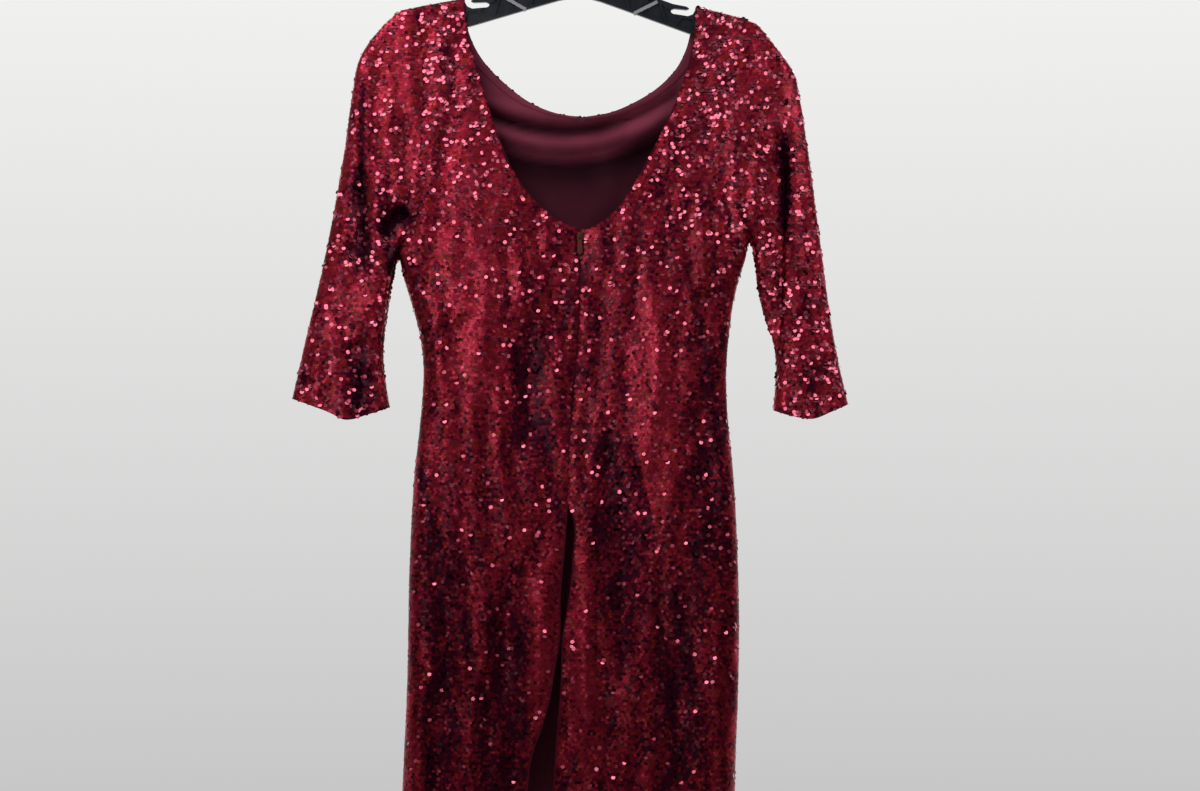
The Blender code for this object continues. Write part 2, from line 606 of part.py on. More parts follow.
def make_pull(centre, axis_face, collection, material):
    """Pull tab that hangs from its bar: a flat drop with a window, its origin on the bar's axis."""
    bar, length = PULL["bar"], PULL["length"]
    neck, width = PULL["neck"] / 2, PULL["width"] / 2
    curve = bpy.data.curves.new("zip_pull", "CURVE")
    curve.dimensions = "2D"
    curve.fill_mode = "BOTH"
    curve.extrude = PULL["thick"] / 2 * MM
    bottom = [(width * math.cos(a), width - length + width * math.sin(a))
              for a in np.linspace(0, -math.pi, 9)]
    shoulder = -bar - PULL["window_length"] - 1.6
    outline = [(-neck + 0.5, bar), (neck - 0.5, bar), (neck, bar - 0.5), (neck, shoulder), *bottom,
               (-neck, shoulder), (-neck, bar - 0.5)]
    half, end = PULL["window_width"] / 2, -bar - PULL["window_length"]
    window = [(-half, -bar), (half, -bar), (half, end + 0.8), (half - 0.8, end), (0.8 - half, end),
              (-half, end + 0.8)]
    for points in (outline, window):
        spline = curve.splines.new("POLY")
        spline.points.add(len(points) - 1)
        for point, (x, y) in zip(spline.points, points):
            point.co = (x * MM, y * MM, 0, 1)
        spline.use_cyclic_u = True
    flat = bpy.data.objects.new("zip_pull_outline", curve)
    collection.objects.link(flat)
    bpy.context.view_layer.update()
    mesh = bpy.data.meshes.new_from_object(flat.evaluated_get(bpy.context.evaluated_depsgraph_get()))
    bpy.data.objects.remove(flat)
    body = bmesh.new()
    body.from_mesh(mesh)
    bmesh.ops.remove_doubles(body, verts=body.verts, dist=1e-6)
    body.to_mesh(mesh)
    body.free()
    mesh.materials.append(material)
    pull = bpy.data.objects.new("zip_pull", mesh)
    collection.objects.link(pull)
    pull.location = (centre[0] * MM, axis_face * MM, -centre[2] * MM)
    pull.rotation_euler = (math.pi / 2, 0, 0)
    return pull


# ---- Hanger ----

def arm_outline():
    """The right half of the hanger's outline, from the top of the middle round to the bottom of the middle."""
    slope = (SHOULDER[1] - NECK[1]) / (SHOULDER[0] - NECK[0])

    def under_seam(across):
        return NECK[1] + (across - NECK[0]) * slope + ARM_CLEAR

    tip = SHOULDER[0] + ARM_TIP
    top = [(0, 66), (7.5, 66), (8.5, 78), (15, 87), (28, 93), (106, 117.5), (112, 119.5), (128, 122)]
    notch = [(132, 124.5), (128, 126), (113, 125), (109, 127), (110, 130), (114, 131.5), (130, 133.5),
             (136, 131), (138.5, 126)]
    end = [(NECK[0] + 3, under_seam(NECK[0] + 3)), (tip - 8, under_seam(tip - 8)),
           (tip - 2, under_seam(tip) + 1.5), (tip, under_seam(tip) + 6), (tip - 1, under_seam(tip) + 11),
           (tip - 6, under_seam(tip) + 14)]
    bottom = [(170, 158), (133, 155), (60, 131), (26, 120), (10, 116), (0, 115)]
    return top + notch + end + bottom


def pocket_outlines():
    """Pockets of the right arm, between its ribs: (across, drop) corners."""
    def top_line(across):
        return np.interp(across, (12, 28, 106, 114, 137, 146, 201), (89, 97.5, 122, 135.5, 137.5, 129, 140.5))

    def bottom_line(across):
        return np.interp(across, (12, 26, 60, 133, 170, 201), (112, 116, 127, 151, 154, 149))

    stations = (12, 34, 56, 78, 100, 118, 140, 164, 182, 199)
    rib, lean = 2.4, 7.0
    pockets = []
    for number, (start, stop) in enumerate(zip(stations, stations[1:])):
        slant = lean if number % 2 else -lean
        low, high = start + rib / 2, stop - rib / 2
        shift_low, shift_high = (slant, -slant) if 0 < number < len(stations) - 2 else (0, 0)
        corners = [(low + shift_low / 2, top_line), (high + shift_high / 2, top_line),
                   (high - shift_high / 2, bottom_line), (low - shift_low / 2, bottom_line)]
        pockets.append([(across, float(line(across))) for across, line in corners])
    return pockets


def prism(outline, low, high):
    """A bmesh prism along Y through an outline of (across, drop) places."""
    mesh = bmesh.new()
    ends = [[mesh.verts.new((across, y, -drop)) for across, drop in outline] for y in (low, high)]
    mesh.faces.new(ends[0])
    mesh.faces.new(ends[1][::-1])
    for i in range(len(outline)):
        j = (i + 1) % len(outline)
        mesh.faces.new((ends[0][i], ends[1][i], ends[1][j], ends[0][j]))
    return mesh


def make_hook(collection, material):
    """The hook: a bent rod from the middle of the arms round to its tip, open towards -X."""
    centre = HOOK_RADIUS - HOOK_ROD
    start, stop = math.radians(-52), math.radians(196)
    ring = [(HOOK_RADIUS * math.cos(a), centre - HOOK_RADIUS * math.sin(a))
            for a in np.linspace(start, stop, 15)]
    stem = smooth_line(((0, 76), (0, 66), (0, 58), (4.5, 47), ring[0]), 4)[:-1]
    curve = bpy.data.curves.new("hook", "CURVE")
    curve.dimensions = "3D"
    curve.bevel_depth = HOOK_ROD * MM
    curve.bevel_resolution = 3
    curve.use_fill_caps = True
    spline = curve.splines.new("POLY")
    places = [*stem, *ring]
    spline.points.add(len(places) - 1)
    for point, (across, drop) in zip(spline.points, places):
        point.co = (across * MM, 0, -drop * MM, 1)
    rod = bpy.data.objects.new("hook_rod", curve)
    collection.objects.link(rod)
    bpy.context.view_layer.update()
    mesh = bpy.data.meshes.new_from_object(rod.evaluated_get(bpy.context.evaluated_depsgraph_get()))
    bpy.data.objects.remove(rod)
    body = bmesh.new()
    body.from_mesh(mesh)
    bmesh.ops.remove_doubles(body, verts=body.verts, dist=1e-6)
    bmesh.ops.recalc_face_normals(body, faces=body.faces)
    body.to_mesh(mesh)
    body.free()
    mesh.materials.append(material)
    hook = bpy.data.objects.new("hook", mesh)
    collection.objects.link(hook)
    return hook


def make_hanger(collection, material):
    """The hanger in one moulded piece: arms with pockets between ribs, strap notches and a hook."""
    right = arm_outline()
    outline = right + [(-across, drop) for across, drop in right[-2:0:-1]]
    hanger = finish_mesh("hanger", prism(outline, -ARM_HALF, ARM_HALF), collection, material, bevel=ARM_BEVEL)
    for pocket in pocket_outlines():
        for sign in (1, -1):
            for low, high in ((-ARM_HALF - 1, -WEB / 2), (WEB / 2, ARM_HALF + 1)):
                places = [(sign * across, drop) for across, drop in pocket]
                cutter = finish_mesh("pocket", prism(places, low, high), collection, material)
                boolean(hanger, cutter, "DIFFERENCE")
    boolean(hanger, make_hook(collection, material), "UNION")
    for vertex in hanger.data.vertices:
        across, drop = tilted(vertex.co.x, -vertex.co.z)
        vertex.co = (across, vertex.co.y, -drop)
    return hanger


def main():
    """Builds the dress and its hanger."""
    for obj in list(bpy.data.objects):
        bpy.data.objects.remove(obj)
    collection = bpy.data.collections.new("cocktail_dress")
    bpy.context.scene.collection.children.link(collection)
    materials = dict(
        sequins=new_material("burgundy_sequins", (0.17, 0.008, 0.022), 0.35, 0.4),
        lining=new_material("burgundy_lining", (0.09, 0.015, 0.03), 0.8),
        tape=new_material("burgundy_zip_tape", (0.06, 0.008, 0.016), 0.9),
        metal=new_material("antique_brass", (0.22, 0.13, 0.07), 0.45, 0.9),
        plastic=new_material("black_plastic", (0.012, 0.013, 0.016), 0.3),
    )
    backs, offsets = make_cloth(collection, materials)
    make_tapes(backs, offsets, collection, materials["tape"])

    centre = at_drop(smooth_line(CENTRE_BACK), SLIDER_DROP)
    face = -(float(full_depth(SLIDER_DROP, "back")) + CLOTH / 2 + SEAM_GAP)
    slider_centre = (float(centre[0]), face, SLIDER_DROP)
    make_slider(slider_centre, collection, materials["metal"])
    axis_face = face - SLIDER["thick"] - BRIDGE["clear"] / 2
    make_pull(slider_centre, axis_face, collection, materials["metal"])
    make_hanger(collection, materials["plastic"])


main()
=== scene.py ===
# A burgundy sequinned cocktail dress, seen from the back on a black plastic hanger.
import math

import bpy
import numpy as np
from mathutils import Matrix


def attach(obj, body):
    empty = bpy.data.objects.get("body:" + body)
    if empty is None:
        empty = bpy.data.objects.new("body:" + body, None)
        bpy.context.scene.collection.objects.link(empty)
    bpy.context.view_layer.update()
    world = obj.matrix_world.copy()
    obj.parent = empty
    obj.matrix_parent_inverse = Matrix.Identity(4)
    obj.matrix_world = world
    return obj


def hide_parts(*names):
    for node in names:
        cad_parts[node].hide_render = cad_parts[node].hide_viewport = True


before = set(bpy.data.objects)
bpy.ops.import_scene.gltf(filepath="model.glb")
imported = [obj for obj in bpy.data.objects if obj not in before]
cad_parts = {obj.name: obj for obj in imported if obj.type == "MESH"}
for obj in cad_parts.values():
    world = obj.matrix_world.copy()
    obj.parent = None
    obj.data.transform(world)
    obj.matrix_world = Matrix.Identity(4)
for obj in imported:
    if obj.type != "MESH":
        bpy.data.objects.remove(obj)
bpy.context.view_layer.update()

mm = 0.001
rng = np.random.default_rng(11)


# The camera stands straight behind the dress; its frame is 1.44 m wide where the dress hangs.
cameraPlace = dict(across=0.024, height=-0.5946, distance=3.0, dressFace=-0.012, frameWidth=1.44, sensor=36.0)

def makeCamera():
    data = bpy.data.cameras.new("camera")
    data.sensor_width = cameraPlace["sensor"]
    data.lens = cameraPlace["sensor"] * cameraPlace["distance"] / cameraPlace["frameWidth"]
    camera = bpy.data.objects.new("camera", data)
    away = cameraPlace["dressFace"] - cameraPlace["distance"]
    camera.location = (cameraPlace["across"], away, cameraPlace["height"])
    camera.rotation_euler = (math.pi / 2, 0, 0)
    bpy.context.collection.objects.link(camera)
    bpy.context.scene.camera = camera

makeCamera()
print("camera placed")


# Colours and nodes.
def fromHex(text):
    # sRGB to linear: c/12.92 near black, ((c + 0.055)/1.055)^2.4 above it
    value = np.array([int(text[i:i + 2], 16) for i in (1, 3, 5)]) / 255
    return (*np.where(value <= 0.04045, value / 12.92, ((value + 0.055) / 1.055) ** 2.4), 1.0)


def addNode(tree, kind, settings):
    # settings: an input's name or number, or a property's name, with a value, a socket, or a node that stands
    # for its first output
    node = tree.nodes.new("ShaderNode" + kind)
    for name, value in settings.items():
        if isinstance(value, bpy.types.Node):
            value = value.outputs[0]
        if isinstance(value, bpy.types.NodeSocket):
            tree.links.new(value, node.inputs[name])
        elif isinstance(name, int) or name in node.inputs:
            node.inputs[name].default_value = value
        else:
            setattr(node, name, value)
    return node


def startMaterial(name):
    material = bpy.data.materials.new(name)
    material.use_nodes = True
    material.node_tree.nodes.clear()
    return material, material.node_tree


def endMaterial(tree, settings):
    addNode(tree, "OutputMaterial", {"Surface": addNode(tree, "BsdfPrincipled", settings)})


def addMath(tree, operation, *values):
    return addNode(tree, "Math", {"operation": operation, **dict(enumerate(values))})


def addNoise(tree, place, scale, detail):
    return addNode(tree, "TexNoise", {"Vector": place, "Scale": scale, "Detail": detail})


def mapRange(tree, value, source, target=(0, 1)):
    ends = zip(("From Min", "From Max", "To Min", "To Max"), (*source, *target))
    return addNode(tree, "MapRange", {"Value": value, **dict(ends)})


def threadWave(tree, coordinate, pitch):
    # rises from 0 to 1 and falls back once every pitch: 0.5 + 0.5 sin(2 pi x / pitch)
    wave = addMath(tree, "SINE", addMath(tree, "MULTIPLY", coordinate, 2 * math.pi / pitch))
    return addMath(tree, "MULTIPLY_ADD", wave, 0.5, 0.5)


def mixColours(tree, factor, low, high):
    return addNode(tree, "Mix", {"data_type": "RGBA", "Factor": factor, 6: low, 7: high}).outputs[2]


# The dress in millimetres. A place is (across, drop): across runs to the wearer's right, and drop is how far
# the place lies below the point where the hook rests. Depths run down the dress as (drop, back, front).
form = dict(
    tilt=math.radians(2), neck=(140, 122.4), shoulder=(198, 135), crestHalf=8, crestDrop=7, underarmRow=415,
    slitTop=722, hem=1122, armholeDepth=15, sideRoll=22, underarmRise=45, shoulderSettle=130,
    sleeveSettle=0.35, fullRelief=8, shallowest=0.35,
    depths=((122, 13, 15), (300, 18, 22), (410, 20, 25), (570, 17, 19), (750, 21, 23), (1122, 25, 26)),
    sleeveDepths=((0, 15), (0.3, 14), (0.7, 12.5), (1, 14.5)),
    centreBack=((0, 396.6), (-2, 516), (-12, 640), (-15, 722)),
    centreFront=((3, 258), (-2, 516), (-10, 760), (-14, 1122)))
seamsOf = dict(left=dict(
    neckBack=((-137, 150), (-119, 218), (-99, 282), (-76, 334), (-51, 365), (-28, 385), (0, 396.6)),
    neckFront=((-138, 146), (-127, 176), (-115, 194), (-92, 217), (-63, 239), (-30, 253), (3, 258)),
    armhole=((-190, 168), (-188, 240), (-191, 312), (-199, 366), (-219.5, 427)),
    side=((-216.3, 430), (-215, 436), (-213, 446), (-203, 480), (-193, 516), (-187.5, 560), (-189.5, 605),
        (-199, 696), (-204, 790), (-207.5, 948), (-212, 1050), (-215, 1122)),
    slit=((-16.5, 745), (-19.5, 786), (-23.5, 829), (-25, 888), (-31, 924), (-37, 960), (-47, 994),
        (-59, 1029), (-63, 1060), (-64, 1122)),
    sleeveOuter=((-214, 131), (-228, 141.6), (-243, 157), (-257, 175), (-266, 193), (-273, 230),
        (-283, 300), (-306, 426), (-331, 534), (-345.6, 598)),
    sleeveInner=((-222.8, 429.5), (-224.6, 435), (-226, 446), (-230, 466), (-234.5, 500), (-238.5, 535),
        (-236.5, 570), (-230.4, 608.4)),
    cuff=((-322, 606), (-300, 614.4), (-282, 622.8), (-258, 617))
), right=dict(
    neckBack=((138, 160), (127, 211), (107, 262), (88, 300), (63, 345), (36, 380), (14, 394), (0, 396.6)),
    neckFront=((135, 152), (129, 176), (118, 198), (101, 217), (72, 237), (37, 252), (3, 258)),
    armhole=((189, 180), (186, 252), (188, 318), (193, 366), (205, 408)),
    side=((201.8, 411), (200.6, 416), (199, 426), (193, 446), (183.5, 482), (179, 516), (175, 560),
        (175.5, 600), (184, 696), (188, 770), (190.5, 860), (189, 960), (186, 1040), (185, 1122)),
    slit=((-6.6, 745), (-7.5, 786), (-11.5, 829), (-15, 852), (-20, 882), (-21.6, 931), (-26, 990),
        (-30, 1049), (-31, 1122)),
    sleeveOuter=((211, 147), (223, 160), (234.5, 174.5), (247, 191), (256, 205), (263, 234), (273.6, 300),
        (290.4, 426), (306, 534), (321.6, 605)),
    sleeveInner=((208.2, 410.5), (210.2, 416), (212.5, 427), (215, 450), (218.5, 474), (225, 502),
        (234, 528), (237.5, 556), (236, 585), (233.5, 612)),
    cuff=((302, 613), (280, 621.6), (256, 618.5))))

# Folds as (across and drop of the top, across and drop of the bottom, half width, depth); a negative depth
# stands proud. Each fades out over a share of its length at both ends.
folds = dict(
    fade=0.3,
    back=(
        # the large ones
        (-262, 318, -262, 468, 10, 6), (-268, 520, -262, 640, 13, 5), (-244, 402, -204, 370, 13, 9),
        (-163, 690, -165, 1240, 18, 4.5), (-122, 190, -124, 700, 40, -4), (-88, 790, -93, 1260, 20, 6),
        (-61, 480, -60, 690, 17, 4.5), (-42, 760, -48, 1010, 14, -3), (10, 740, 2, 1060, 13, -3.5),
        (32, 600, 28, 880, 12, 3.5), (54, 620, 50, 960, 14, 5.5), (88, 420, 92, 760, 22, -3),
        (122, 760, 118, 1230, 20, 4), (158, 500, 160, 860, 16, 3),
        # left sleeve: the fold down its middle, drag lines at the elbow and above the cuff
        (-261, 170, -263, 470, 5, 2.4), (-246, 250, -250, 330, 6, 1.6), (-276, 330, -270, 440, 6, 1.8),
        (-290, 392, -262, 452, 7, 2.2), (-238, 470, -268, 500, 7, -1.8), (-240, 520, -292, 548, 8, 1.6),
        (-300, 520, -312, 622, 8, 1.8), (-250, 560, -248, 640, 7, 1.6), (-226, 300, -232, 392, 7, 1.6),
        (-206, 240, -214, 350, 5, 1.2), (-322, 560, -336, 640, 6, 1.4),
        # right sleeve: the edge of the layer in front, and short folds across the elbow
        (246, 250, 245, 415, 7, 5.2), (250, 180, 258, 260, 6, 1.4), (262, 330, 270, 430, 6, 1.6),
        (284, 420, 262, 470, 7, 2), (240, 486, 286, 512, 7, 1.8), (276, 540, 284, 640, 7, 1.8),
        (252, 560, 254, 640, 6, 1.4), (222, 230, 226, 330, 6, 1.2), (214, 440, 240, 500, 6, 1.6),
        (300, 470, 306, 560, 6, -1.2),
        # bodice: soft uprights beside the V, and pulls from the underarms
        (-150, 150, -164, 330, 9, 1.3), (-128, 250, -112, 420, 8, 1.2), (-96, 360, -84, 520, 8, 1.4),
        (-186, 400, -140, 372, 8, 1.6), (-196, 462, -150, 470, 8, 1.5), (-182, 520, -128, 508, 7, 1.3),
        (150, 170, 156, 330, 8, 1.2), (112, 300, 104, 470, 9, 1.3), (182, 388, 142, 362, 8, 1.5),
        (176, 470, 132, 480, 7, 1.5), (166, 540, 120, 530, 7, 1.3), (72, 372, 66, 520, 7, 1.2),
        (-38, 420, -34, 560, 6, 1.3), (26, 430, 24, 590, 6, 1.5), (-20, 440, -20, 560, 4, 1),
        # waist and skirt: uneven hanging folds
        (-142, 470, -138, 700, 9, 1.8), (-112, 560, -108, 790, 9, 1.6), (-80, 520, -78, 720, 7, 1.5),
        (-40, 600, -36, 760, 7, 1.6), (-182, 640, -186, 900, 8, 1.6), (-134, 760, -136, 1020, 9, 1.7),
        (-112, 880, -116, 1240, 10, 1.8), (-66, 800, -74, 1100, 8, 1.8), (-178, 920, -184, 1240, 9, 1.5),
        (-62, 1000, -84, 1240, 7, 1.5), (8, 560, 8, 720, 6, 1.2), (20, 690, 14, 980, 6, 1.4),
        (74, 660, 76, 900, 9, 1.8), (98, 740, 92, 1060, 8, 1.7), (138, 620, 142, 900, 9, 1.6),
        (32, 930, 28, 1240, 8, 1.6), (66, 960, 62, 1240, 9, 1.8), (150, 880, 152, 1240, 9, 1.6),
        (96, 1000, 94, 1240, 7, 1.4), (172, 700, 176, 960, 7, 1.3), (0, 930, -10, 1200, 6, 1.2)),
    front=(
        (-262, 340, -268, 520, 12, 4), (238, 300, 262, 480, 12, 4.5), (-120, 300, -70, 560, 24, 4),
        (-150, 640, -154, 1000, 20, 3.5), (-84, 560, -90, 1230, 24, 5), (-14, 620, -18, 980, 22, -3.5),
        (52, 540, 58, 1230, 24, 5), (104, 320, 66, 540, 24, 3.5), (128, 700, 126, 1200, 20, 4),
        (-258, 200, -264, 380, 6, 1.8), (-292, 420, -258, 470, 7, 2), (-244, 520, -300, 552, 8, 1.6),
        (-284, 560, -290, 640, 7, 1.6), (252, 190, 256, 320, 6, 1.6), (282, 400, 256, 452, 7, 2),
        (236, 500, 288, 520, 7, 1.7), (272, 560, 280, 640, 7, 1.5), (-160, 170, -172, 330, 9, 1.3),
        (150, 180, 158, 330, 9, 1.3), (-190, 410, -146, 376, 8, 1.6), (180, 392, 138, 368, 8, 1.5),
        (-186, 500, -132, 512, 7, 1.4), (168, 500, 118, 516, 7, 1.4), (-112, 420, -100, 620, 9, 1.6),
        (96, 430, 92, 640, 9, 1.6), (-44, 430, -40, 620, 8, 1.5), (30, 440, 28, 640, 8, 1.5),
        (-176, 620, -182, 900, 9, 1.6), (-124, 700, -126, 980, 9, 1.7), (-56, 680, -60, 940, 9, 1.6),
        (-104, 900, -112, 1240, 10, 1.8), (-44, 960, -50, 1240, 9, 1.7), (18, 700, 14, 1020, 8, 1.6),
        (84, 680, 86, 960, 9, 1.7), (156, 640, 160, 900, 8, 1.5), (34, 1000, 30, 1240, 9, 1.7),
        (98, 980, 100, 1240, 9, 1.7), (160, 960, 162, 1240, 9, 1.5), (-174, 960, -180, 1240, 9, 1.5)))
# the right sleeve's inner layer lies behind its outer one, with soft ends: (place, length) of each
tuck = dict(line=((246, 276), (246, 340), (245, 460), (241, 545)), width=7, depth=9.5, top=(270, 70),
            bottom=(560, 60), side=(198, 22))
# waves: distance below the swag's line, half width, depth away from the back
swag = dict(middle=(-18, 272), curl=0.00233, reach=86, fade=74,
            waves=((-14, 7, -2), (0, 8, 6.5), (19, 9, -9), (44, 20, 8.5), (92, 26, -2.5), (3, 3.5, 1.6)))
# small waves all over: count, size, widths and heights of one wave
ripple = dict(count=14, size=0.34, gain=1.6, widths=(26, 70), heights=(110, 420), seeds=dict(back=3, front=5))


def smoothStep(value):
    # 3 t^2 - 2 t^3 between 0 and 1
    value = np.clip(value, 0, 1)
    return value * value * (3 - 2 * value)


def quarterRound(value):
    # a quarter of a circle: sqrt(1 - (1 - t)^2)
    value = np.clip(value, 0, 1)
    return np.sqrt(1 - (1 - value) ** 2)


def smoothLine(points, samples=12):
    # Hermite curve through the points, knots at their distances, slopes from neighbours
    points = np.array(points, float)
    knots = np.concatenate(([0], np.cumsum(np.linalg.norm(np.diff(points, axis=0), axis=1))))
    slopes = np.gradient(points, knots, axis=0)
    at = np.unique(np.concatenate([np.linspace(a, b, samples) for a, b in zip(knots, knots[1:])]))
    cell = np.clip(np.searchsorted(knots, at, side="right") - 1, 0, len(knots) - 2)
    step = (knots[cell + 1] - knots[cell])[:, None]
    u = (at - knots[cell])[:, None] / step
    return ((1 + 2 * u) * (1 - u) ** 2 * points[cell] + u * (1 - u) ** 2 * step * slopes[cell]
            + u * u * (3 - 2 * u) * points[cell + 1] + u * u * (u - 1) * step * slopes[cell + 1])


def lengthsOf(line):
    # running length at each point, along the first axis
    steps = np.linalg.norm(np.diff(line, axis=0), axis=-1)
    return np.concatenate((np.zeros_like(steps[:1]), np.cumsum(steps, axis=0)))


def interpColumns(at, known, values):
    return np.stack([np.interp(at, known, column) for column in values.T], -1)


def atLength(line, length):
    return interpColumns(length, lengthsOf(line), line)


def acrossAt(line, drop):
    return np.interp(drop, line[:, 1], line[:, 0])


def atDrop(line, drop):
    return np.stack([acrossAt(line, drop), drop], -1)


def blend(low, high, part):
    return low * (1 - part) + high * part


def unit(vectors):
    return vectors / np.maximum(np.linalg.norm(vectors, axis=-1), 1e-9)[..., None]


def tilted(across, drop):
    return across * math.cos(form["tilt"]), drop + across * math.sin(form["tilt"])


def cornerOf(side, name):
    across, drop = form[name]
    return tilted(-across if side == "left" else across, drop)


def foldRelief(table, across, drop):
    # each fold is a trough -depth exp(-(aside/halfWidth)^2) that fades at both ends
    relief = np.zeros(np.shape(across))
    for across0, drop0, across1, drop1, halfWidth, depth in table:
        run = np.array((across1 - across0, drop1 - drop0))
        length = np.linalg.norm(run)
        along = ((across - across0) * run[0] + (drop - drop0) * run[1]) / length ** 2
        aside = ((across - across0) * run[1] - (drop - drop0) * run[0]) / length
        ends = depth * smoothStep(along / folds["fade"]) * smoothStep((1 - along) / folds["fade"])
        relief -= ends * np.exp(-(aside / halfWidth) ** 2)
    return relief


def rippleRelief(face, across, drop):
    # sum of slow sine waves, each narrow across and long down the cloth
    waves, count = np.random.default_rng(ripple["seeds"][face]), ripple["count"]
    width = waves.uniform(*ripple["widths"], count)
    height = waves.uniform(*ripple["heights"], count) * waves.choice((-1, 1), count)
    shift = waves.uniform(0, 2 * math.pi, count)
    return sum(ripple["size"] * np.sin(2 * math.pi * (across / w + drop / h) + s)
               for w, h, s in zip(width, height, shift)) * np.sqrt(2 / count) * ripple["gain"]


def backRelief(across, drop):
    # folds, ripples, and the tuck of the right sleeve
    inside = acrossAt(smoothLine(tuck["line"]), drop) - across
    (top, long), (bottom, short), (side, wide) = tuck["top"], tuck["bottom"], tuck["side"]
    window = smoothStep((drop - top) / long) * smoothStep((bottom - drop) / short)
    window = window * smoothStep((across - side) / wide)
    behind = tuck["depth"] * window * smoothStep(inside / tuck["width"] + 0.5)
    return foldRelief(folds["back"], across, drop) + rippleRelief("back", across, drop) - behind


def belowSwag(across, drop):
    # the swags hang on parabolas between the shoulders
    middle, level = swag["middle"]
    return drop - (level - swag["curl"] * (across - middle) ** 2)


def frontRelief(across, drop):
    # folds, ripples and the swags
    below = belowSwag(across, drop)
    spread = smoothStep((swag["reach"] + swag["fade"] - np.abs(across - swag["middle"][0])) / swag["fade"])
    waves = sum(depth * np.exp(-((below - place) / halfWidth) ** 2)
                for place, halfWidth, depth in swag["waves"])
    return foldRelief(folds["front"], across, drop) + rippleRelief("front", across, drop) + waves * spread


faces = dict(back=dict(sign=-1, column=1, relief=backRelief),
             front=dict(sign=1, column=2, relief=frontRelief))


def inSpace(places, height, face):
    # across and drop stay; the cloth stands out of the hanger's plane by its height plus the relief
    across, drop = places[..., 0], places[..., 1]
    relief = faces[face]["relief"](across, drop) * np.clip(height / form["fullRelief"], 0, 1)
    out = np.maximum(height + relief, form["shallowest"] * height)
    return np.stack([across, faces[face]["sign"] * out, -drop], -1)


def fullDepth(drop, face):
    line = smoothLine([(row[0], row[faces[face]["column"]]) for row in form["depths"]])
    return np.interp(drop, line[:, 0], line[:, 1])


def crestHalf(below):
    # the rolled shoulder: a superellipse of power 3
    return form["crestHalf"] * (1 - (1 - np.clip(below / form["crestDrop"], 0, 1)) ** 3) ** (1 / 3)


# Grid steps in millimetres. The first columns lie over the rounding of a side or an armhole.
grid = dict(step=5, crest=(0, 0.2, 0.6, 1.2, 2.2, 3.6, 5.4, 7.5, 10),
            side=(0, 0.12, 0.4, 1, 1.9, 3.2, 5.2, 8), armhole=(0, 1.2, 2.6, 4.2, 6, 8, 10.4, 13),
            columns=dict(back=38, front=34), neckRows=dict(back=58, front=38),
            # a sleeve's columns, with the shares of the way for the closer ones at its edges and its top
            sleeve=34, sleeveEdges=(0, 0.003, 0.01, 0.02), sleeveTop=(0, 0.004, 0.01), sleeveStart=0.02)
# the cloth sinks a little into each seam, at a sleeve's in its upper part and less where it is flat
seamDip = dict(depth=1.1, width=2.4, sleeve=0.3, sleeveShare=0.5, sleeveHeight=6)


def halfPanel(side, face):
    # rows run straight from the outer seam to the neckline or the centre; the height rises along a quarter
    # round from the side, or a smooth step from the armhole's depth
    seams = seamsOf[side]
    neckPoint, shoulderPoint = cornerOf(side, "neck"), cornerOf(side, "shoulder")
    neck = smoothLine((neckPoint, *seams["neck" + face.title()]))
    armhole = smoothLine((shoulderPoint, *seams["armhole"]))
    underarm = seams["armhole"][-1]
    outerLine = np.concatenate((armhole, smoothLine((underarm, *seams["side"]))[1:]))

    below = np.linspace(grid["crest"][-1], lengthsOf(neck)[-1], grid["neckRows"][face])[1:]
    inner = atLength(neck, np.concatenate((grid["crest"], below)))
    neckRows = len(inner)
    lowest = inner[-1, 1]
    lines = [(form["centreFront"], form["hem"])]
    if face == "back":
        slit = form["centreBack"][-1], *seams["slit"]
        lines = [(form["centreBack"], form["slitTop"]), (slit, form["hem"])]
    start = lowest
    for line, end in lines:
        drops = np.linspace(start, end, int((end - start) / grid["step"]))[1:]
        inner = np.concatenate((inner, atDrop(smoothLine(line), drops)))
        start = end

    outerDrop = np.interp(inner[:, 1], (neckPoint[1], form["underarmRow"], form["hem"]),
                          (shoulderPoint[1], underarm[1], form["hem"]))
    outer = atDrop(outerLine, outerDrop)
    closing = 1 - (1 - np.clip((underarm[1] - outerDrop) / form["underarmRise"], 0, 1)) ** 2
    width = np.linalg.norm(inner - outer, axis=1)[:, None]
    openShare = np.clip(3 * closing, 0, 1)[:, None]
    first = blend(grid["side"], grid["armhole"], openShare) / width
    even = np.linspace(0, 1, grid["columns"][face] + 1)[None, 1:]
    share = np.concatenate((first, first[:, -1:] + (1 - first[:, -1:]) * even), 1)[..., None]
    places = blend(outer[:, None], inner[:, None], share)

    below = outerDrop - shoulderPoint[1]
    settled = smoothStep(below / form["shoulderSettle"])
    depth = crestHalf(below) + (fullDepth(inner[:, 1], face) - form["crestHalf"]) * settled
    armholeDepth = (crestHalf(below) + (form["armholeDepth"] - form["crestHalf"]) * settled) * closing
    inward = np.abs(places[..., 0] - outer[:, None, 0]) / form["sideRoll"]
    rounding = (1 - armholeDepth / form["armholeDepth"])[:, None]
    ease = blend(smoothStep(inward), quarterRound(inward), rounding)
    height = armholeDepth[:, None] + (depth - armholeDepth)[:, None] * ease
    if face == "back":
        toCentre = np.linalg.norm(places - inner[:, None], axis=-1)
        sewn = (inner[:, 1] > lowest) & (inner[:, 1] <= form["slitTop"])
        height = height - seamDip["depth"] * sewn[:, None] * np.exp(-(toCentre / seamDip["width"]) ** 2)
    points = inSpace(places, height, face)
    normals, order = outward(gridNormals(points), face)
    armholeRows = int(np.argmin(np.abs(outerDrop - underarm[1]))) + 1
    return dict(places=places, height=height, points=points, normals=normals, order=order,
                neckRows=neckRows, armholeRows=armholeRows)


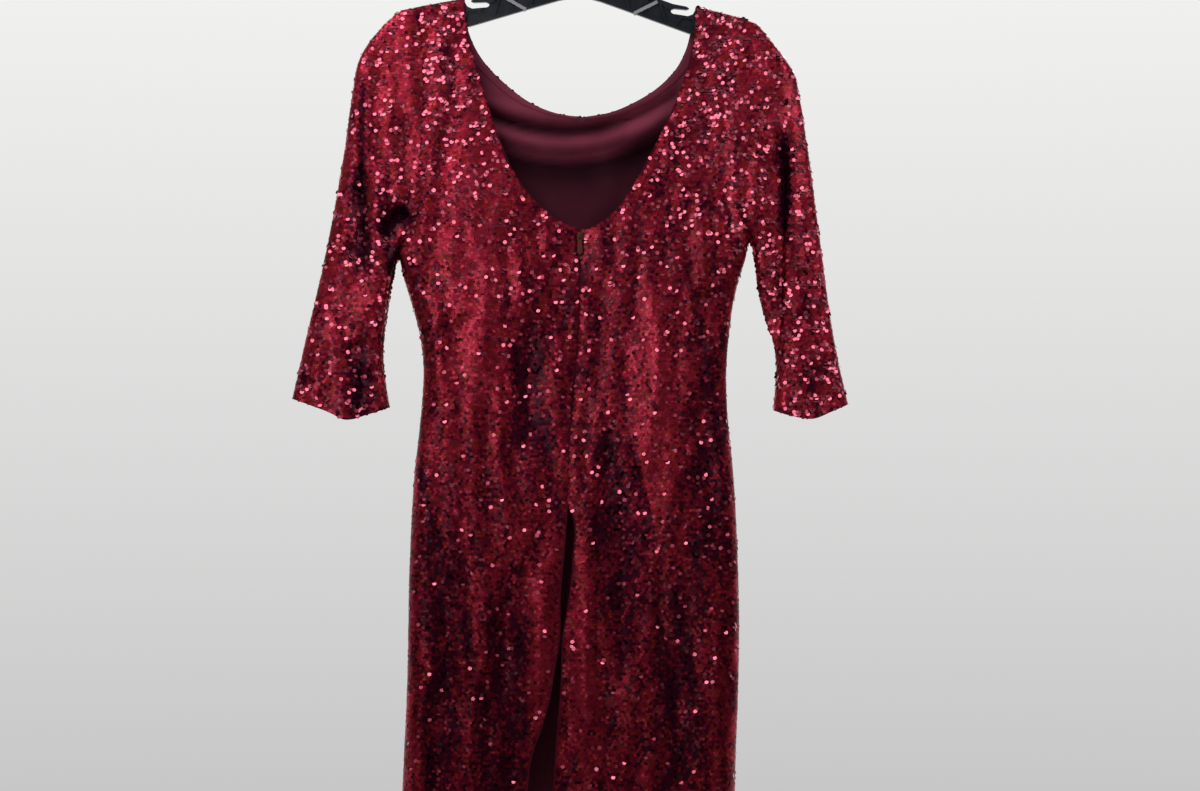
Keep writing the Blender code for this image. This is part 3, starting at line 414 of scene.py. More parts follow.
def sleeveHalf(side, face):
    # a Coons patch between the outer edge, the underarm edge, the armhole and the cuff; its section is a
    # lens, sqrt(1 - (1 - 2v)^4), that grows out of the armhole's own depth
    seams, panel = seamsOf[side], panels[side, face]
    rows = panel["armholeRows"]
    seamLine = np.concatenate((panel["places"][:rows, 0], panel["height"][:rows, :1]), 1)
    along = lengthsOf(seamLine[:, :2])
    edges = np.array(grid["sleeveEdges"])
    share = np.unique(np.concatenate((edges, np.linspace(0, 1, grid["sleeve"]), 1 - edges)))
    seamAt = interpColumns(share * along[-1], along, seamLine)
    outerEdge = smoothLine((cornerOf(side, "shoulder"), *seams["sleeveOuter"]))
    innerEdge = smoothLine((seams["armhole"][-1], *seams["sleeveInner"]))
    cuffEdge = smoothLine((seams["sleeveOuter"][-1], *seams["cuff"], seams["sleeveInner"][-1]))

    outerLength = lengthsOf(outerEdge)[-1]
    down = np.concatenate((grid["sleeveTop"],
                           np.linspace(grid["sleeveStart"], 1, int(outerLength / grid["step"]))))
    outer = atLength(outerEdge, down * outerLength)[:, None]
    inner = atLength(innerEdge, down * lengthsOf(innerEdge)[-1])[:, None]
    v, u = share[None, :, None], down[:, None, None]
    cuff = atLength(cuffEdge, share * lengthsOf(cuffEdge)[-1])[None]
    ruled = blend(outer, inner, v)
    places = ruled + (1 - u) * (seamAt[None, :, :2] - ruled[:1]) + u * (cuff - ruled[-1:])

    table = np.array(form["sleeveDepths"], float)
    tube = np.interp(down, table[:, 0], table[:, 1])[:, None] * np.sqrt(1 - (1 - 2 * v[..., 0]) ** 4)
    height = blend(seamAt[None, :, 2], tube, smoothStep(down / form["sleeveSettle"])[:, None])
    dip = seamDip["sleeve"] * np.exp(-((places[..., 0] - seamAt[None, :, 0]) / seamDip["width"]) ** 2)
    upper = down[:, None] < seamDip["sleeveShare"]
    height = np.maximum(height - dip * np.minimum(height / seamDip["sleeveHeight"], 1) * upper, 0)
    return inSpace(places, height, face)


# Meshes.
def gridFaces(rows, columns, closed=False):
    index = np.arange(rows * columns).reshape(rows, columns)
    if closed:
        index = np.concatenate((index, index[:, :1]), 1)
    return np.stack((index[:-1, :-1], index[1:, :-1], index[1:, 1:], index[:-1, 1:]), -1).reshape(-1, 4)


def gridNormals(points, closed=False):
    # cross product of the grid's two directions
    around = np.concatenate((points[:, -1:], points, points[:, :1]), 1) if closed else points
    across = np.gradient(around, axis=1)
    across = across[:, 1:-1] if closed else across
    return unit(np.cross(np.gradient(points, axis=0), across))


def outward(normals, face, columns=None):
    # the normals turned out of the dress, and +1 where the grid's order already faces there, else -1
    order = 1 if (normals[:, :columns, 1] * faces[face]["sign"]).sum() > 0 else -1
    return normals * order, order


def orderedFaces(faceIndex, order):
    return faceIndex if order > 0 else faceIndex[:, ::-1]


def newMesh(points, faceIndex, uv=None, smooth=True, slots=None, paintedLight=None):
    # faceIndex holds one row of vertex numbers per face; points are in millimetres
    mesh = bpy.data.meshes.new("mesh")
    sides = faceIndex.shape[1]
    mesh.vertices.add(len(points))
    mesh.vertices.foreach_set("co", (points * mm).astype(np.float32).ravel())
    mesh.loops.add(faceIndex.size)
    mesh.loops.foreach_set("vertex_index", faceIndex.astype(np.int32).ravel())
    mesh.polygons.add(len(faceIndex))
    mesh.polygons.foreach_set("loop_start", np.arange(0, faceIndex.size, sides, dtype=np.int32))
    if slots is not None:
        mesh.polygons.foreach_set("material_index", slots.astype(np.int32))
    mesh.polygons.foreach_set("use_smooth", np.full(len(faceIndex), smooth))
    mesh.update(calc_edges=True)
    if uv is not None:
        layer = mesh.uv_layers.new(name="cloth")
        layer.uv.foreach_set("vector", uv[faceIndex.ravel()].astype(np.float32).ravel())
    if paintedLight is not None:
        values = mesh.attributes.new("open", "FLOAT", "POINT").data
        values.foreach_set("value", paintedLight.astype(np.float32))
    return mesh


def addPiece(name, mesh, materials, replacing=(), wall=None):
    mesh.name = name
    piece = bpy.data.objects.new(name, mesh)
    bpy.context.collection.objects.link(piece)
    for material in materials:
        mesh.materials.append(material)
    if wall:
        shell = piece.modifiers.new("Solidify", "SOLIDIFY")
        shell.thickness, shell.offset = wall * mm, -1
        shell.use_even_offset = False
    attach(piece, "dress")
    if replacing:
        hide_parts(*replacing)
    return piece


def clothUv(points):
    # running lengths across and down the cloth, in metres
    across = lengthsOf(np.swapaxes(points, 0, 1)).T
    down = lengthsOf(points)
    return np.stack((across, down), -1).reshape(-1, 2) * mm


# Materials.
# knit: courses to a wale, (scale, detail) of its cloud and its fuzz, share of the loops in the colour and of
# the fuzz in the height, span of the tones, height in millimetres
knitLook = dict(course=0.8, grains=((22, 3), (900, 2)), loops=0.45, fuzz=0.5, tones=(0.3, 1.1), height=0.6)

def knitMaterial(name, base, dark, wale, roughness, sheen, sheenTint, bump, paintedShade=None):
    # the last argument is a painted shadow colour, mixed in where the mesh attribute "open", a painted light
    # level, falls to 0, deep inside folds
    material, tree = startMaterial(name)
    texture = addNode(tree, "TexCoord", {}).outputs
    split = addNode(tree, "SeparateXYZ", {0: texture["UV"]}).outputs
    columns = threadWave(tree, split["X"], wale * mm)
    courses = threadWave(tree, split["Y"], wale * knitLook["course"] * mm)
    loops = addMath(tree, "MULTIPLY", columns, courses)
    cloud, fuzz = (addNoise(tree, texture["Object"], *grain) for grain in knitLook["grains"])
    tone = mapRange(tree, addMath(tree, "MULTIPLY_ADD", loops, knitLook["loops"], cloud), knitLook["tones"])
    colour = mixColours(tree, tone, fromHex(dark), fromHex(base))
    height = addMath(tree, "MULTIPLY_ADD", fuzz, knitLook["fuzz"], loops)
    raised = addNode(tree, "Bump", {"Strength": bump, "Distance": knitLook["height"] * mm, "Height": height})
    if paintedShade:
        # painted shade: the colour falls toward the painted shadow colour where the painted light level is
        # low
        paintedLight = addNode(tree, "Attribute", {"attribute_name": "open"}).outputs["Fac"]
        colour = mixColours(tree, paintedLight, fromHex(paintedShade), colour)
    endMaterial(tree, {"Base Color": colour, "Roughness": roughness, "Specular IOR Level": 0.03,
                       "Sheen Weight": sheen, "Sheen Roughness": 0.45, "Sheen Tint": fromHex(sheenTint),
                       "Normal": raised})
    return material


def foilMaterial(name, colour, roughness, coat, ior=1.5):
    # sequin: metallised burgundy film under a clear glossy face, which flashes pink where it meets a lamp
    material, tree = startMaterial("sequin_foil_" + name)
    endMaterial(tree, {"Base Color": fromHex(colour), "Roughness": roughness, "Metallic": 1,
                       "Coat Weight": coat, "Coat Roughness": 0.16, "Coat IOR": ior})
    return material


# solid: how much finer its bump is, span of the noise that the roughness takes, height in millimetres
solidLook = dict(finer=6, tones=(0.3, 0.7), height=0.4)

def solidMaterial(name, base, dark, metallic, roughness, grain, bump, ior=1.5):
    # mottled between two colours and two roughnesses by one noise
    material, tree = startMaterial(name)
    place = addNode(tree, "TexCoord", {}).outputs["Object"]
    cloud, fine = addNoise(tree, place, grain, 3), addNoise(tree, place, solidLook["finer"] * grain, 2)
    rough = mapRange(tree, cloud, solidLook["tones"], roughness)
    raised = addNode(tree, "Bump", {"Strength": bump, "Distance": solidLook["height"] * mm, "Height": fine})
    endMaterial(tree, {"Base Color": mixColours(tree, cloud, fromHex(dark), fromHex(base)),
                       "Roughness": rough, "Metallic": metallic, "IOR": ior, "Normal": raised})
    return material


# polyester warp knit that carries the sequins, dull and dark between them; wales of 0.9 mm drawn at 1.8
groundKnit = knitMaterial("sequin_ground_knit", "#7a2038", "#561426", 1.8, 0.85, 0.08, "#9c4058", 0.5)
# smooth polyester jersey: soft, slightly lustrous; wales of 0.7 mm drawn at 1.4; its last colour, near black,
# is painted shade for the folds and the inside of the dress
liningJersey = knitMaterial(
    "lining_jersey", "#ae5066", "#8a3a52", 1.4, 0.65, 0.02, "#b0687c", 0.35, "#0c040c")
# narrow woven polyester, dull and darker than the cloth
tapeWeave = knitMaterial("zip_tape_weave", "#4a1420", "#2a0a10", 1.2, 0.9, 0.05, "#80304a", 0.6)
# spun polyester, matt with a faint twist
thread = solidMaterial("polyester_thread", "#96465a", "#74303f", 0, (0.6, 0.75), 900.0, 0.2)
# nylon coil, drawn smooth and dyed with its tape
coilNylon = solidMaterial("nylon_coil", "#4a1624", "#300c16", 0, (0.3, 0.42), 500.0, 0.05)
# zinc under a red-brown lacquer, dull and a little worn
lacqueredZinc = solidMaterial("lacquered_zinc", "#96564e", "#60362f", 1, (0.36, 0.5), 700.0, 0.1)
# injection-moulded: glossy blue-black with faint flow marks and fine rub scratches
hangerPlastic = solidMaterial("black_polystyrene", "#2a2e38", "#20232c", 0, (0.24, 0.3), 60.0, 0.08, 1.59)
# the same, painted pale over the faces of its ribs: a painted reflection of the lit room off the ribs
ribHighlightPlastic = solidMaterial("polystyrene_painted_highlight", "#c8c6cc", "#9c9ba2", 0, (0.4, 0.6), 160.0, 0.15, 1.59)
# foils from the darkest to the brightest, and the tones that part them; the first, darkest foil is painted
# shade for deep troughs and pockets, and the last is for the loose sequins
foils = [foilMaterial(*values) for values in (
    ("paintedShade", "#240614", 0.55, 0.0), ("shadow", "#481026", 0.46, 0.1), ("deep", "#74182c", 0.44, 0.12),
    ("wine", "#941d36", 0.42, 0.15), ("rust", "#9c2c26", 0.44, 0.15), ("burgundy", "#b2263e", 0.40, 0.15),
    ("raspberry", "#c4324a", 0.38, 0.15), ("flash", "#d04464", 0.24, 1.0, 1.65))]
foilLimits = (-2.6, -1.15, -0.5, 0, 0.3, 0.95)
print("materials made")


# Sequins: discs in level rows, each second row shifted by half a pitch, in millimetres and degrees. Most lie
# like shingles and lean together in soft patches; the loose ones hang askew and flash by themselves.
sequins = dict(
    radius=2.3, sides=8, sizes=(0.92, 1.04), pitch=3.75, rowPitch=3.25, starts=(0.25, 0.75), jitter=0.36,
    lift=0.75, lifts=(-0.1, 0.25), shingle=6, lap=3.5, tilt=2.4,
    # bare above the first row and below the last, and at a row's uneven ends
    margins=(1.0, 0.8), edge=0.2, uneven=0.35,
    # columns to each of the cloth's, so that a row never cuts a corner through it
    between=5,
    # patch fields: waves, first of four seeds, sizes, how far they tilt and tone; the tone's are drawn out
    patchWaves=10, patchSeed=21, patchSizes=(11, 34), patchTilt=1.5, patchTone=0.38, streak=0.35,
    # painted shade: how far the troughs of folds lower the tone, counted down to the deepest trough
    troughShade=0.4, deepest=-3,
    looseTilt=13, looseRise=8, looseLift=0.6, looseSize=0.1, looseRight=0.0009, cluster=1.1, fewest=0.05,
    # on the sleeves: the tone raised as painted light, and the share of loose ones
    sleeve=dict(tone=0.5, loose=0.19),
    # pockets where the back shades itself, written like folds, with the loss of tone as depth: painted shade
    pockets=((-246, 406, -200, 362, 9, 4.2), (-262, 190, -262, 480, 5, 1.8), (247, 262, 245, 430, 6, 3.6),
             (-232, 400, -226, 470, 6, 2), (-268, 530, -262, 640, 8, 1.5)),
    # down the dress: share of loose ones, shift of the tone and its own spread; the shift darkens the lower
    # dress as painted shade, and the loose ones in the brighter flash foil are set thickest at the top,
    # partly as painted highlight
    down=((135, 0.44, 0, 0.48), (210, 0.37, 0, 0.5), (300, 0.22, -0.18, 0.6), (420, 0.11, -0.32, 0.62),
          (560, 0.045, -0.36, 0.66), (800, 0.022, -0.22, 0.68), (1122, 0.015, -0.15, 0.72)))

def patchField(seed, places):
    # soft patches: sine waves in random directions, added up to about unit spread
    waves, count = np.random.default_rng(seed), sequins["patchWaves"]
    angle, shift = waves.uniform(0, math.pi, count), waves.uniform(0, 2 * math.pi, count)
    length = waves.uniform(*sequins["patchSizes"], count)
    return sum(np.sin(2 * math.pi * (places[:, 0] * math.cos(a) + places[:, 2] * math.sin(a)) / long + s)
               for a, long, s in zip(angle, length, shift)) * math.sqrt(2 / count)


def sequinPlaces(points, normals, bare):
    # centres, outward, sideways and upward directions of the discs in all rows
    fine = np.linspace(0, points.shape[1] - 1, (points.shape[1] - 1) * sequins["between"] + 1)
    left = np.minimum(fine.astype(int), points.shape[1] - 2)
    part = (fine - left)[None, :, None]
    points, normals = (blend(array[:, left], array[:, left + 1], part) for array in (points, normals))
    rows, columns = points.shape[:2]
    # a level is the length down the cloth without its sideways part, so rows stay level
    stepDown = np.hypot(np.diff(points[..., 2], axis=0), np.diff(points[..., 1], axis=0))
    fromEnd = np.concatenate((np.cumsum(stepDown[::-1], axis=0)[::-1], np.zeros((1, columns))))
    level = -points[-1:, :, 2] - fromEnd
    above, under = sequins["margins"]
    wanted = np.arange(level.min() + above, level.max() - under, sequins["rowPitch"])
    row = np.stack([np.interp(wanted, level[:, j], np.arange(rows)) for j in range(columns)], 1)
    base = np.minimum(row.astype(int), rows - 2)
    part = (row - base)[..., None]
    column = np.arange(columns)[None]
    line, facing = (blend(array[base, column], array[base + 1, column], part) for array in (points, normals))

    along = lengthsOf(np.swapaxes(line, 0, 1)).T
    number = len(wanted)
    most = int(along[:, -1].max() / sequins["pitch"]) + 1
    start = np.take(sequins["starts"], np.arange(number) % 2)[:, None]
    at = (np.arange(most)[None] + start) * sequins["pitch"] + rng.normal(0, sequins["jitter"], (number, most))
    gap = np.interp(-line[:, -1:, 2], *np.transpose(bare)) + rng.normal(0, sequins["uneven"], (number, 1))
    rowOf = np.broadcast_to(np.arange(number)[:, None], at.shape)
    edge = sequins["edge"]
    keep = (at > edge) & (at < along[:, -1:] - np.maximum(gap, edge))
    at, rowOf = at[keep], rowOf[keep]
    # one interpolation for all rows: each row's lengths are moved past the row before it
    apart = 1e5 * np.arange(number)[:, None]
    place = np.interp(at + apart[rowOf, 0], (along + apart).ravel(), np.tile(np.arange(columns), number))
    left = np.minimum(place.astype(int), columns - 2)
    part = place - left
    top, bottom = (blend(level[end, left], level[end, left + 1], part) for end in (0, -1))
    whole = (wanted[rowOf] > top + edge) & (wanted[rowOf] < bottom - edge)
    left, rowOf, part = left[whole], rowOf[whole], part[whole, None]
    centre, up = (blend(array[rowOf, left], array[rowOf, left + 1], part) for array in (line, facing))
    up = unit(up)
    sideways = unit(line[rowOf, left + 1] - line[rowOf, left])
    skyward = np.cross(up, sideways)
    return centre, up, sideways, skyward * np.sign(skyward[:, 2:])


def scatterSequins(name, points, normals, bare, closed=False):
    if closed:
        points, normals = (np.concatenate((part, part[:, :1]), 1) for part in (points, normals))
    centre, up, sideways, skyward = sequinPlaces(points, normals, bare)
    count, across, drop = len(centre), centre[:, 0], -centre[:, 2]
    onSleeve, onBack = name.startswith("sleeve"), centre[:, 1] < 0
    down = np.transpose(sequins["down"])
    looseShare, shift, spread = (np.interp(drop, down[0], line) for line in down[1:])
    if onSleeve:
        looseShare = sequins["sleeve"]["loose"]
    # painted shade in the pockets: a lower tone and fewer loose, flashing sequins
    pocketShade = foldRelief(sequins["pockets"], across, drop) * onBack
    looseShare = looseShare * (1 + sequins["looseRight"] * across) * np.clip(1 + pocketShade / 2, 0, 1)
    # patches: two for the lean, one for the tone and one in which the loose ones gather
    patches = [patchField(sequins["patchSeed"] + k, centre * (1, 1, sequins["streak"] if k == 2 else 1))
               for k in range(4)]
    gather = np.maximum(1 + sequins["cluster"] * patches[3], sequins["fewest"])
    loose = (rng.random(count) < looseShare * gather)[:, None]
    own = rng.normal(0, 1, (2, count, 1)) * np.where(loose, sequins["looseTilt"], sequins["tilt"])
    lean = np.tan(np.radians(np.stack(patches[:2])[..., None] * sequins["patchTilt"] + own))
    rise = np.tan(np.radians(sequins["shingle"] + sequins["looseRise"] * loose))
    lap = math.tan(math.radians(sequins["lap"]))
    facing = unit(up + (lean[0] + lap) * sideways + (lean[1] + rise) * skyward)
    first = unit(np.cross(skyward, facing))
    second = np.cross(facing, first)
    lift = sequins["lift"] + sequins["looseLift"] * loose + rng.uniform(*sequins["lifts"], (count, 1))
    centre = centre + up * lift + skyward * rng.normal(0, sequins["jitter"], (count, 1))
    # corners: centre + r (cos a first + sin a second)
    sides = sequins["sides"]
    turn = np.arange(sides)[None] * 2 * math.pi / sides + rng.uniform(0, 1, (count, 1))
    size = rng.uniform(*sequins["sizes"], (count, 1)) + sequins["looseSize"] * loose
    corners = centre[:, None] + (sequins["radius"] * size)[..., None] * (
        np.cos(turn)[..., None] * first[:, None] + np.sin(turn)[..., None] * second[:, None])
    # dark foils gather in random patches; in the troughs of folds, in the pockets and lower down the dress
    # they are painted shade, and on the sleeves the tone is raised as painted light
    back, front = (foldRelief(folds[face], centre[:, 0], -centre[:, 2]) for face in ("back", "front"))
    tone = (sequins["patchTone"] * patches[2] + rng.normal(0, 1, count) * spread + shift + pocketShade
            + sequins["troughShade"] * np.maximum(np.where(onBack, back, front), sequins["deepest"])
            + sequins["sleeve"]["tone"] * onSleeve)
    slots = np.searchsorted(foilLimits, tone)
    slots[loose[:, 0]] = len(foils) - 1
    index = np.arange(count * sides).reshape(count, sides)
    mesh = newMesh(corners.reshape(-1, 3), index, smooth=False, slots=slots)
    print(name, count, "sequins")
    return addPiece(name, mesh, foils)


# Cloth panels: how far knit and lining stand off, their walls, and the lining's first row and column.
cloth = dict(outer=0.25, wall=0.9, liningSet=1.45, liningWall=0.5, liningStart=(12, 7))
# bare cloth along the inner edge, as (drop, width): V, zip, seam and slit; and the front's neckline
bareEdge = dict(back=((395, 1), (397, 2.2), (648, 2), (662, 1.2), (715, 1), (740, 1.8)),
                front=((252, 1), (262, 0)))
panels = {(side, face): halfPanel(side, face) for side in ("left", "right") for face in ("back", "front")}


def addKnit(name, points, faceIndex, uv):
    mesh = newMesh(points.reshape(-1, 3), faceIndex, uv)
    return addPiece(name + "_knit", mesh, [groundKnit], [name], cloth["wall"])


def makePanel(name, points, normals, order, edges, bare=((0, 0), (1, 0)), closed=False):
    # edges: raw edges of the grid; bare: width without sequins beside the last column, as (drop, width)
    faceIndex = orderedFaces(gridFaces(*points.shape[:2], closed), order)
    knit = addKnit(name, points + normals * cloth["outer"], faceIndex, clothUv(points))
    discs = scatterSequins(name + "_sequins", points, normals, bare, closed)
    bound = makeBinding(name + "_binding", [(points[edge], normals[edge]) for edge in edges])


def makeBack(side):
    panel = panels[side, "back"]
    points = panel["points"]
    slitRow = int(np.searchsorted(-points[:, -1, 2], form["slitTop"]))
    edges = (slice(1, panel["neckRows"]), -1), (slice(slitRow, None), -1), (-1, slice(None))
    makePanel("back_" + side, points, panel["normals"], panel["order"], edges, bareEdge["back"])


def joinFront(first, offset):
    # the two halves of the front as one sheet: they share the centre line below the neckline
    pair = panels["left", "front"], panels["right", "front"]
    halves = [(half["points"] + half["normals"] * offset)[first[0]:, first[1]:] for half in pair]
    rows, columns = halves[0].shape[:2]
    count = rows * columns
    points = np.concatenate([half.reshape(-1, 3) for half in halves])
    faceIndex = np.concatenate((gridFaces(rows, columns), gridFaces(rows, columns)[:, ::-1] + count))
    shared = np.arange(pair[0]["neckRows"] - 1 - first[0], rows) * columns + columns - 1
    place = np.arange(2 * count)
    place[shared + count] = shared
    uv = np.concatenate([clothUv(half) for half in halves])
    kept, faceIndex = np.unique(place[faceIndex], return_inverse=True)
    faceIndex = faceIndex.reshape(-1, 4)
    corner = points[kept][faceIndex]
    facing = np.cross(corner[:, 2] - corner[:, 0], corner[:, 3] - corner[:, 1])[:, 1].sum()
    return points[kept], orderedFaces(faceIndex, facing), uv[kept]


def makeFront():
    knit = addKnit("front", *joinFront((0, 0), cloth["outer"]))
    discs, lines = [], []
    for side in ("left", "right"):
        panel = panels[side, "front"]
        half, normals, neck = panel["points"], panel["normals"], slice(1, panel["neckRows"])
        discs.append(scatterSequins("front_sequins_" + side, half, normals, bareEdge["front"]))
        lines += [(half[neck, -1], normals[neck, -1]), (half[-1], normals[-1])]
    edges = makeBinding("front_binding", lines)
    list(makeNeckBand())


# painted light on the lining: how much light its colour is given, from 0 in painted shadow upwards, as
# (distance below the swags' line, on the left, on the right), and down the dress, painted lighter where the
# slit lets light in
liningPaintedLight = dict(
    swags=((-20, 0.95, 0.95), (-9, 0.8, 1), (-5, 0.4, 0.95), (0, 0.1, 0.7), (6, 0.2, 0.9), (11, 0.62, 1.05),
           (20, 1.15, 1.2), (27, 1.5, 0.75), (31, 1.3, 0.45), (35, 0.6, 0.2), (44, 0.08, 0.03),
           (58, 0.11, 0.08), (74, 0.22, 0.2), (96, 0.34, 0.34), (140, 0.34, 0.34)),
    right=(20, 75),
    down=((250, 1), (400, 1), (460, 1.2), (700, 2.9), (840, 2.9), (960, 0.95), (1122, 0.8)))

def makeLining():
    points, faceIndex, uv = joinFront(cloth["liningStart"], -cloth["liningSet"])
    across, drop = points[:, 0], -points[:, 2]
    distance, left, right = np.transpose(liningPaintedLight["swags"])
    start, end = liningPaintedLight["right"]
    toRight = smoothStep((across - start) / (end - start))
    below = belowSwag(across, drop)
    # painted light and shade: dark under the swags' ridges and inside the dress, lighter where the slit lets
    # light in
    paintedLight = blend(np.interp(below, distance, left), np.interp(below, distance, right), toRight)
    paintedLight *= np.interp(drop, *np.transpose(liningPaintedLight["down"]))
    mesh = newMesh(points, faceIndex, uv, paintedLight=paintedLight)
    lining = addPiece("front_lining_jersey", mesh, [liningJersey], ["front_lining"],
                      cloth["liningWall"])


def makeSleeve(side):
    back, front = (sleeveHalf(side, face) for face in ("back", "front"))
    points = np.concatenate((back, front[:, -2:0:-1]), 1)
    normals, order = outward(gridNormals(points, closed=True), "back", back.shape[1])
    cuff = np.append(np.arange(points.shape[1]), (0, 1))
    makePanel("sleeve_" + side, points, normals, order, [(-1, cuff)], closed=True)


# Trimmings: rolled bindings on raw edges, a band of jersey with a row of stitches inside the front neckline,
# and the coils of the zip inside its tapes.
binding = dict(radius=0.85, sides=8)
neckBand = dict(across=(0.6, 3, 5.5, 8, 10, 10.6), wall=0.6, clear=0.12, stitchAt=8.2, stitchPitch=3.4,
                stitchEnds=(2, 1), stitchClear=0.1, stitch=(2.3, 0.45, 0.35))
zipCoil = dict(top=398, end=620, pitch=1.3, aside=1, inward=1.75, tooth=(0.8, 2.6, 0.9))

def tubeAlong(line, out, radius, sides):
    # a ring around each point of the line: point + r (cos a aside + sin a out)
    aside = unit(np.cross(out, np.gradient(line, axis=0)))
    turn = np.arange(sides + 1)[None, :, None] * 2 * math.pi / sides
    return line[:, None] + radius * (np.cos(turn) * aside[:, None] + np.sin(turn) * out[:, None])


def boxesAlong(centre, along, out, size):
    # eight corners round each centre, from its own three directions
    along, out = unit(along), unit(out)
    frames = np.stack((along, np.cross(out, along), out), 1)
    signs = np.array([(x, y, z) for z in (-1, 1) for x, y in ((-1, -1), (1, -1), (1, 1), (-1, 1))]) / 2
    points = centre[:, None] + np.einsum("ck,nkd->ncd", signs * size, frames)
    sides = np.array(((0, 3, 2, 1), (4, 5, 6, 7), (0, 1, 5, 4), (1, 2, 6, 5), (2, 3, 7, 6), (3, 0, 4, 7)))
    return points.reshape(-1, 3), (8 * np.arange(len(centre))[:, None, None] + sides).reshape(-1, 4)


def makeBinding(name, lines):
    # lines: (points, outward normals) of each edge
    points, faceIndex, uv, start = [], [], [], 0
    for line, out in lines:
        middle = line - out * (cloth["wall"] / 2 - cloth["outer"])
        ring = tubeAlong(middle, out, binding["radius"], binding["sides"])
        points.append(ring.reshape(-1, 3))
        faceIndex.append(gridFaces(*ring.shape[:2]) + start)
        uv.append(clothUv(ring))
        start += len(points[-1])
    mesh = newMesh(np.concatenate(points), np.concatenate(faceIndex), np.concatenate(uv))
    return addPiece(name, mesh, [groundKnit])


def makeNeckBand():
    pieces = []
    for side in ("left", "right"):
        panel = panels[side, "front"]
        rows = slice(cloth["liningStart"][0], panel["neckRows"])
        points, normals = panel["points"][rows, ::-1], panel["normals"][rows, ::-1]
        sheet = points - normals * (cloth["liningSet"] + cloth["liningWall"] + neckBand["clear"])
        band = np.stack([atLength(row, neckBand["across"]) for row in sheet])
        faceIndex = orderedFaces(gridFaces(*band.shape[:2]), outward(gridNormals(band), "front")[1])
        # the neck band takes full painted light, with no painted shade
        mesh = newMesh(band.reshape(-1, 3), faceIndex, clothUv(band), paintedLight=np.ones(band.size // 3))
        pieces.append(addPiece("neck_band_" + side, mesh, [liningJersey],
                               wall=neckBand["wall"]))
        seam = np.stack([atLength(row, [neckBand["stitchAt"]])[0] for row in sheet])
        along = lengthsOf(seam)
        start, end = neckBand["stitchEnds"]
        at = np.arange(start, along[-1] - end, neckBand["stitchPitch"])
        out = interpColumns(at, along, normals[:, 2])
        centre = atLength(seam, at)
        under = out * (neckBand["wall"] + neckBand["stitchClear"])
        stitches = boxesAlong(centre - under, atLength(seam, at + 1) - centre, out, neckBand["stitch"])
        pieces.append(addPiece("neck_stitches_" + side, newMesh(*stitches), [thread]))
    return pieces


def makeZipCoil(side):
    line = panels[side, "back"]["points"][:, -1]
    sign, shift = (-1, zipCoil["pitch"] / 2) if side == "left" else (1, 0)
    drops = np.arange(zipCoil["top"], zipCoil["end"], zipCoil["pitch"]) + shift
    centre = interpColumns(drops, -line[:, 2], line) + (sign * zipCoil["aside"], zipCoil["inward"], 0)
    along, out = (np.tile(direction, (len(drops), 1)) for direction in ((0, 0, 1), (0, 1, 0)))
    teeth = newMesh(*boxesAlong(centre, along, out, zipCoil["tooth"]))
    addPiece("zip_coil_" + side, teeth, [coilNylon])


for side in ("left", "right"):
    makeBack(side)
    makeSleeve(side)
    makeZipCoil(side)
makeFront()
makeLining()
print("cloth made")


# Zip and hanger keep their solids and get their finishes.
for node, material in (("zip_slider", lacqueredZinc), ("zip_pull", lacqueredZinc), ("hanger", hangerPlastic),
                       ("zip_tape_left", tapeWeave), ("zip_tape_right", tapeWeave)):
    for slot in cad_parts[node].material_slots:
        slot.material = material
# the slanting rib between the pockets of each arm, level as moulded: (across, drop) of its ends on the right
ribs = dict(top=(93, 117.5), bottom=(65, 132.5), width=3.8, face=2.7, thick=3.7)

# boxes over the rib faces in pale plastic: a painted reflection, not scuffing
def makeRibHighlights():
    # left and right arm, each with a back and a front
    sign, face = np.array([(a, b) for a in (-1, 1) for b in (-1, 1)]).T
    top, bottom = (np.stack(tilted(sign * end[0], end[1]), 1) for end in (ribs["top"], ribs["bottom"]))
    middle, run = (top + bottom) / 2, bottom - top
    none = np.zeros(len(sign))
    centre = np.stack((middle[:, 0], face * ribs["face"], -middle[:, 1]), 1)
    along, out = np.stack((run[:, 0], none, -run[:, 1]), 1), np.stack((none, face, none), 1)
    size = np.linalg.norm(run, axis=1).mean(), ribs["width"], ribs["thick"]
    mesh = newMesh(*boxesAlong(centre, along, out, size), smooth=False)
    addPiece("hanger_rib_highlights", mesh, [ribHighlightPlastic])


makeRibHighlights()
print("hanger and zip finished")


# Light: soft lamps close by make the shoulders sparkle and let the skirt fall dim; the one beside the camera
# keeps a few sequins flashing all the way down. Each has its name, place, aim, size and power.
lights = (("overheadLeft", (-0.6, -0.8, 0.7), (0, 0, -0.4), 0.9, 5.6),
          ("sideRight", (0.8, -0.9, 0.2), (0, 0, -0.4), 0.6, 2.3),
          ("front", (-0.45, -1.08, -0.2), (0, 0, -0.5), 0.4, 1.05),
          ("besideCamera", (-0.48, -2.85, -0.3), (0, 0, -0.8), 0.35, 1.35),
          ("behind", (0.7, 1.6, 0.8), (0, 0, -0.5), 1.2, 8))

def makeLights():
    for name, place, aim, size, power in lights:
        data = bpy.data.lights.new(name, "AREA")
        data.shape, data.size, data.energy = "DISK", size, power
        lamp = bpy.data.objects.new(name, data)
        lamp.location = place
        x, y, z = np.subtract(place, aim)
        lamp.rotation_euler = (math.atan2(math.hypot(x, y), z), 0, math.atan2(x, -y))
        lamp.visible_camera = False
        bpy.context.collection.objects.link(lamp)
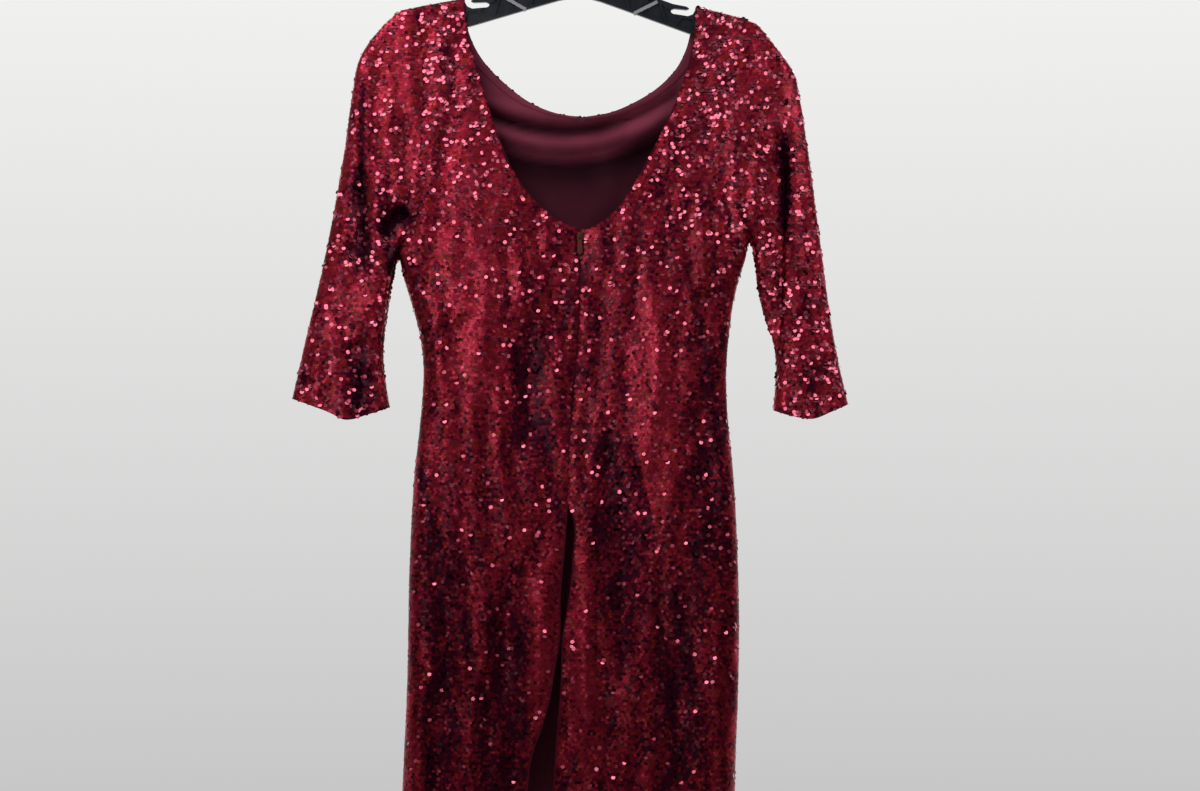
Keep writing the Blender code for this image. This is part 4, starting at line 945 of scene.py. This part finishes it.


# the wall's colours above and below the camera, darker below as painted shade; the room's levels along a
# direction, the wall's straight back
room = dict(top="#f1f1f0", bottom="#c6c6c6", horizon=0.16, side=(-0.35, -0.2, 0.9), sides=(-0.2, 0.9),
            dark=0.015, bright=0.08, behind=(-0.75, 0.9), wall=0.75)

def makeRoom():
    # the camera sees a pale wall, darker downwards by painted shade; the dress is lit by a dim room, brighter
    # above left
    world = bpy.data.worlds.new("room")
    bpy.context.scene.world = world
    world.use_nodes = True
    tree = world.node_tree
    tree.nodes.clear()
    place = addNode(tree, "TexCoord", {}).outputs["Generated"]
    split = addNode(tree, "SeparateXYZ", {0: place}).outputs
    seen = mapRange(tree, split["Z"], (-room["horizon"], room["horizon"]))
    wall = mixColours(tree, seen, fromHex(room["bottom"]), fromHex(room["top"]))
    shown = addNode(tree, "Background", {"Strength": 1.0, "Color": wall})
    upward = addNode(tree, "VectorMath", {"operation": "DOT_PRODUCT", 0: place, 1: room["side"]})
    lit = mapRange(tree, upward.outputs["Value"], room["sides"], (room["dark"], room["bright"]))
    # the wall behind shines on the sides of the dress
    total = addMath(tree, "ADD", lit, mapRange(tree, split["Y"], room["behind"], (0, room["wall"])))
    lighting = addNode(tree, "Background", {"Color": (1, 1, 1, 1), "Strength": total})
    ray = addNode(tree, "LightPath", {}).outputs["Is Camera Ray"]
    both = addNode(tree, "MixShader", {0: ray, 1: lighting, 2: shown})
    addNode(tree, "OutputWorld", {"Surface": both})


# a pale disc well below the hem, in millimetres
floorDisc = dict(radius=1600, height=-1650, sides=96)

def makeFloor():
    radius, sides = floorDisc["radius"], floorDisc["sides"]
    turn = np.linspace(0, 2 * math.pi, sides + 1)[:-1]
    points = np.stack((radius * np.cos(turn), radius * np.sin(turn), np.full(sides, floorDisc["height"])), -1)
    mesh = newMesh(points, np.arange(sides)[None], smooth=False)
    mesh.name = "floor"
    floor = bpy.data.objects.new("floor", mesh)
    bpy.context.collection.objects.link(floor)
    material, tree = startMaterial("pale_floor")
    endMaterial(tree, {"Base Color": fromHex("#e6e5e2"), "Roughness": 0.8})
    mesh.materials.append(material)


makeLights()
makeRoom()
makeFloor()
bpy.context.scene.view_settings.view_transform = "Standard"
print("lit")
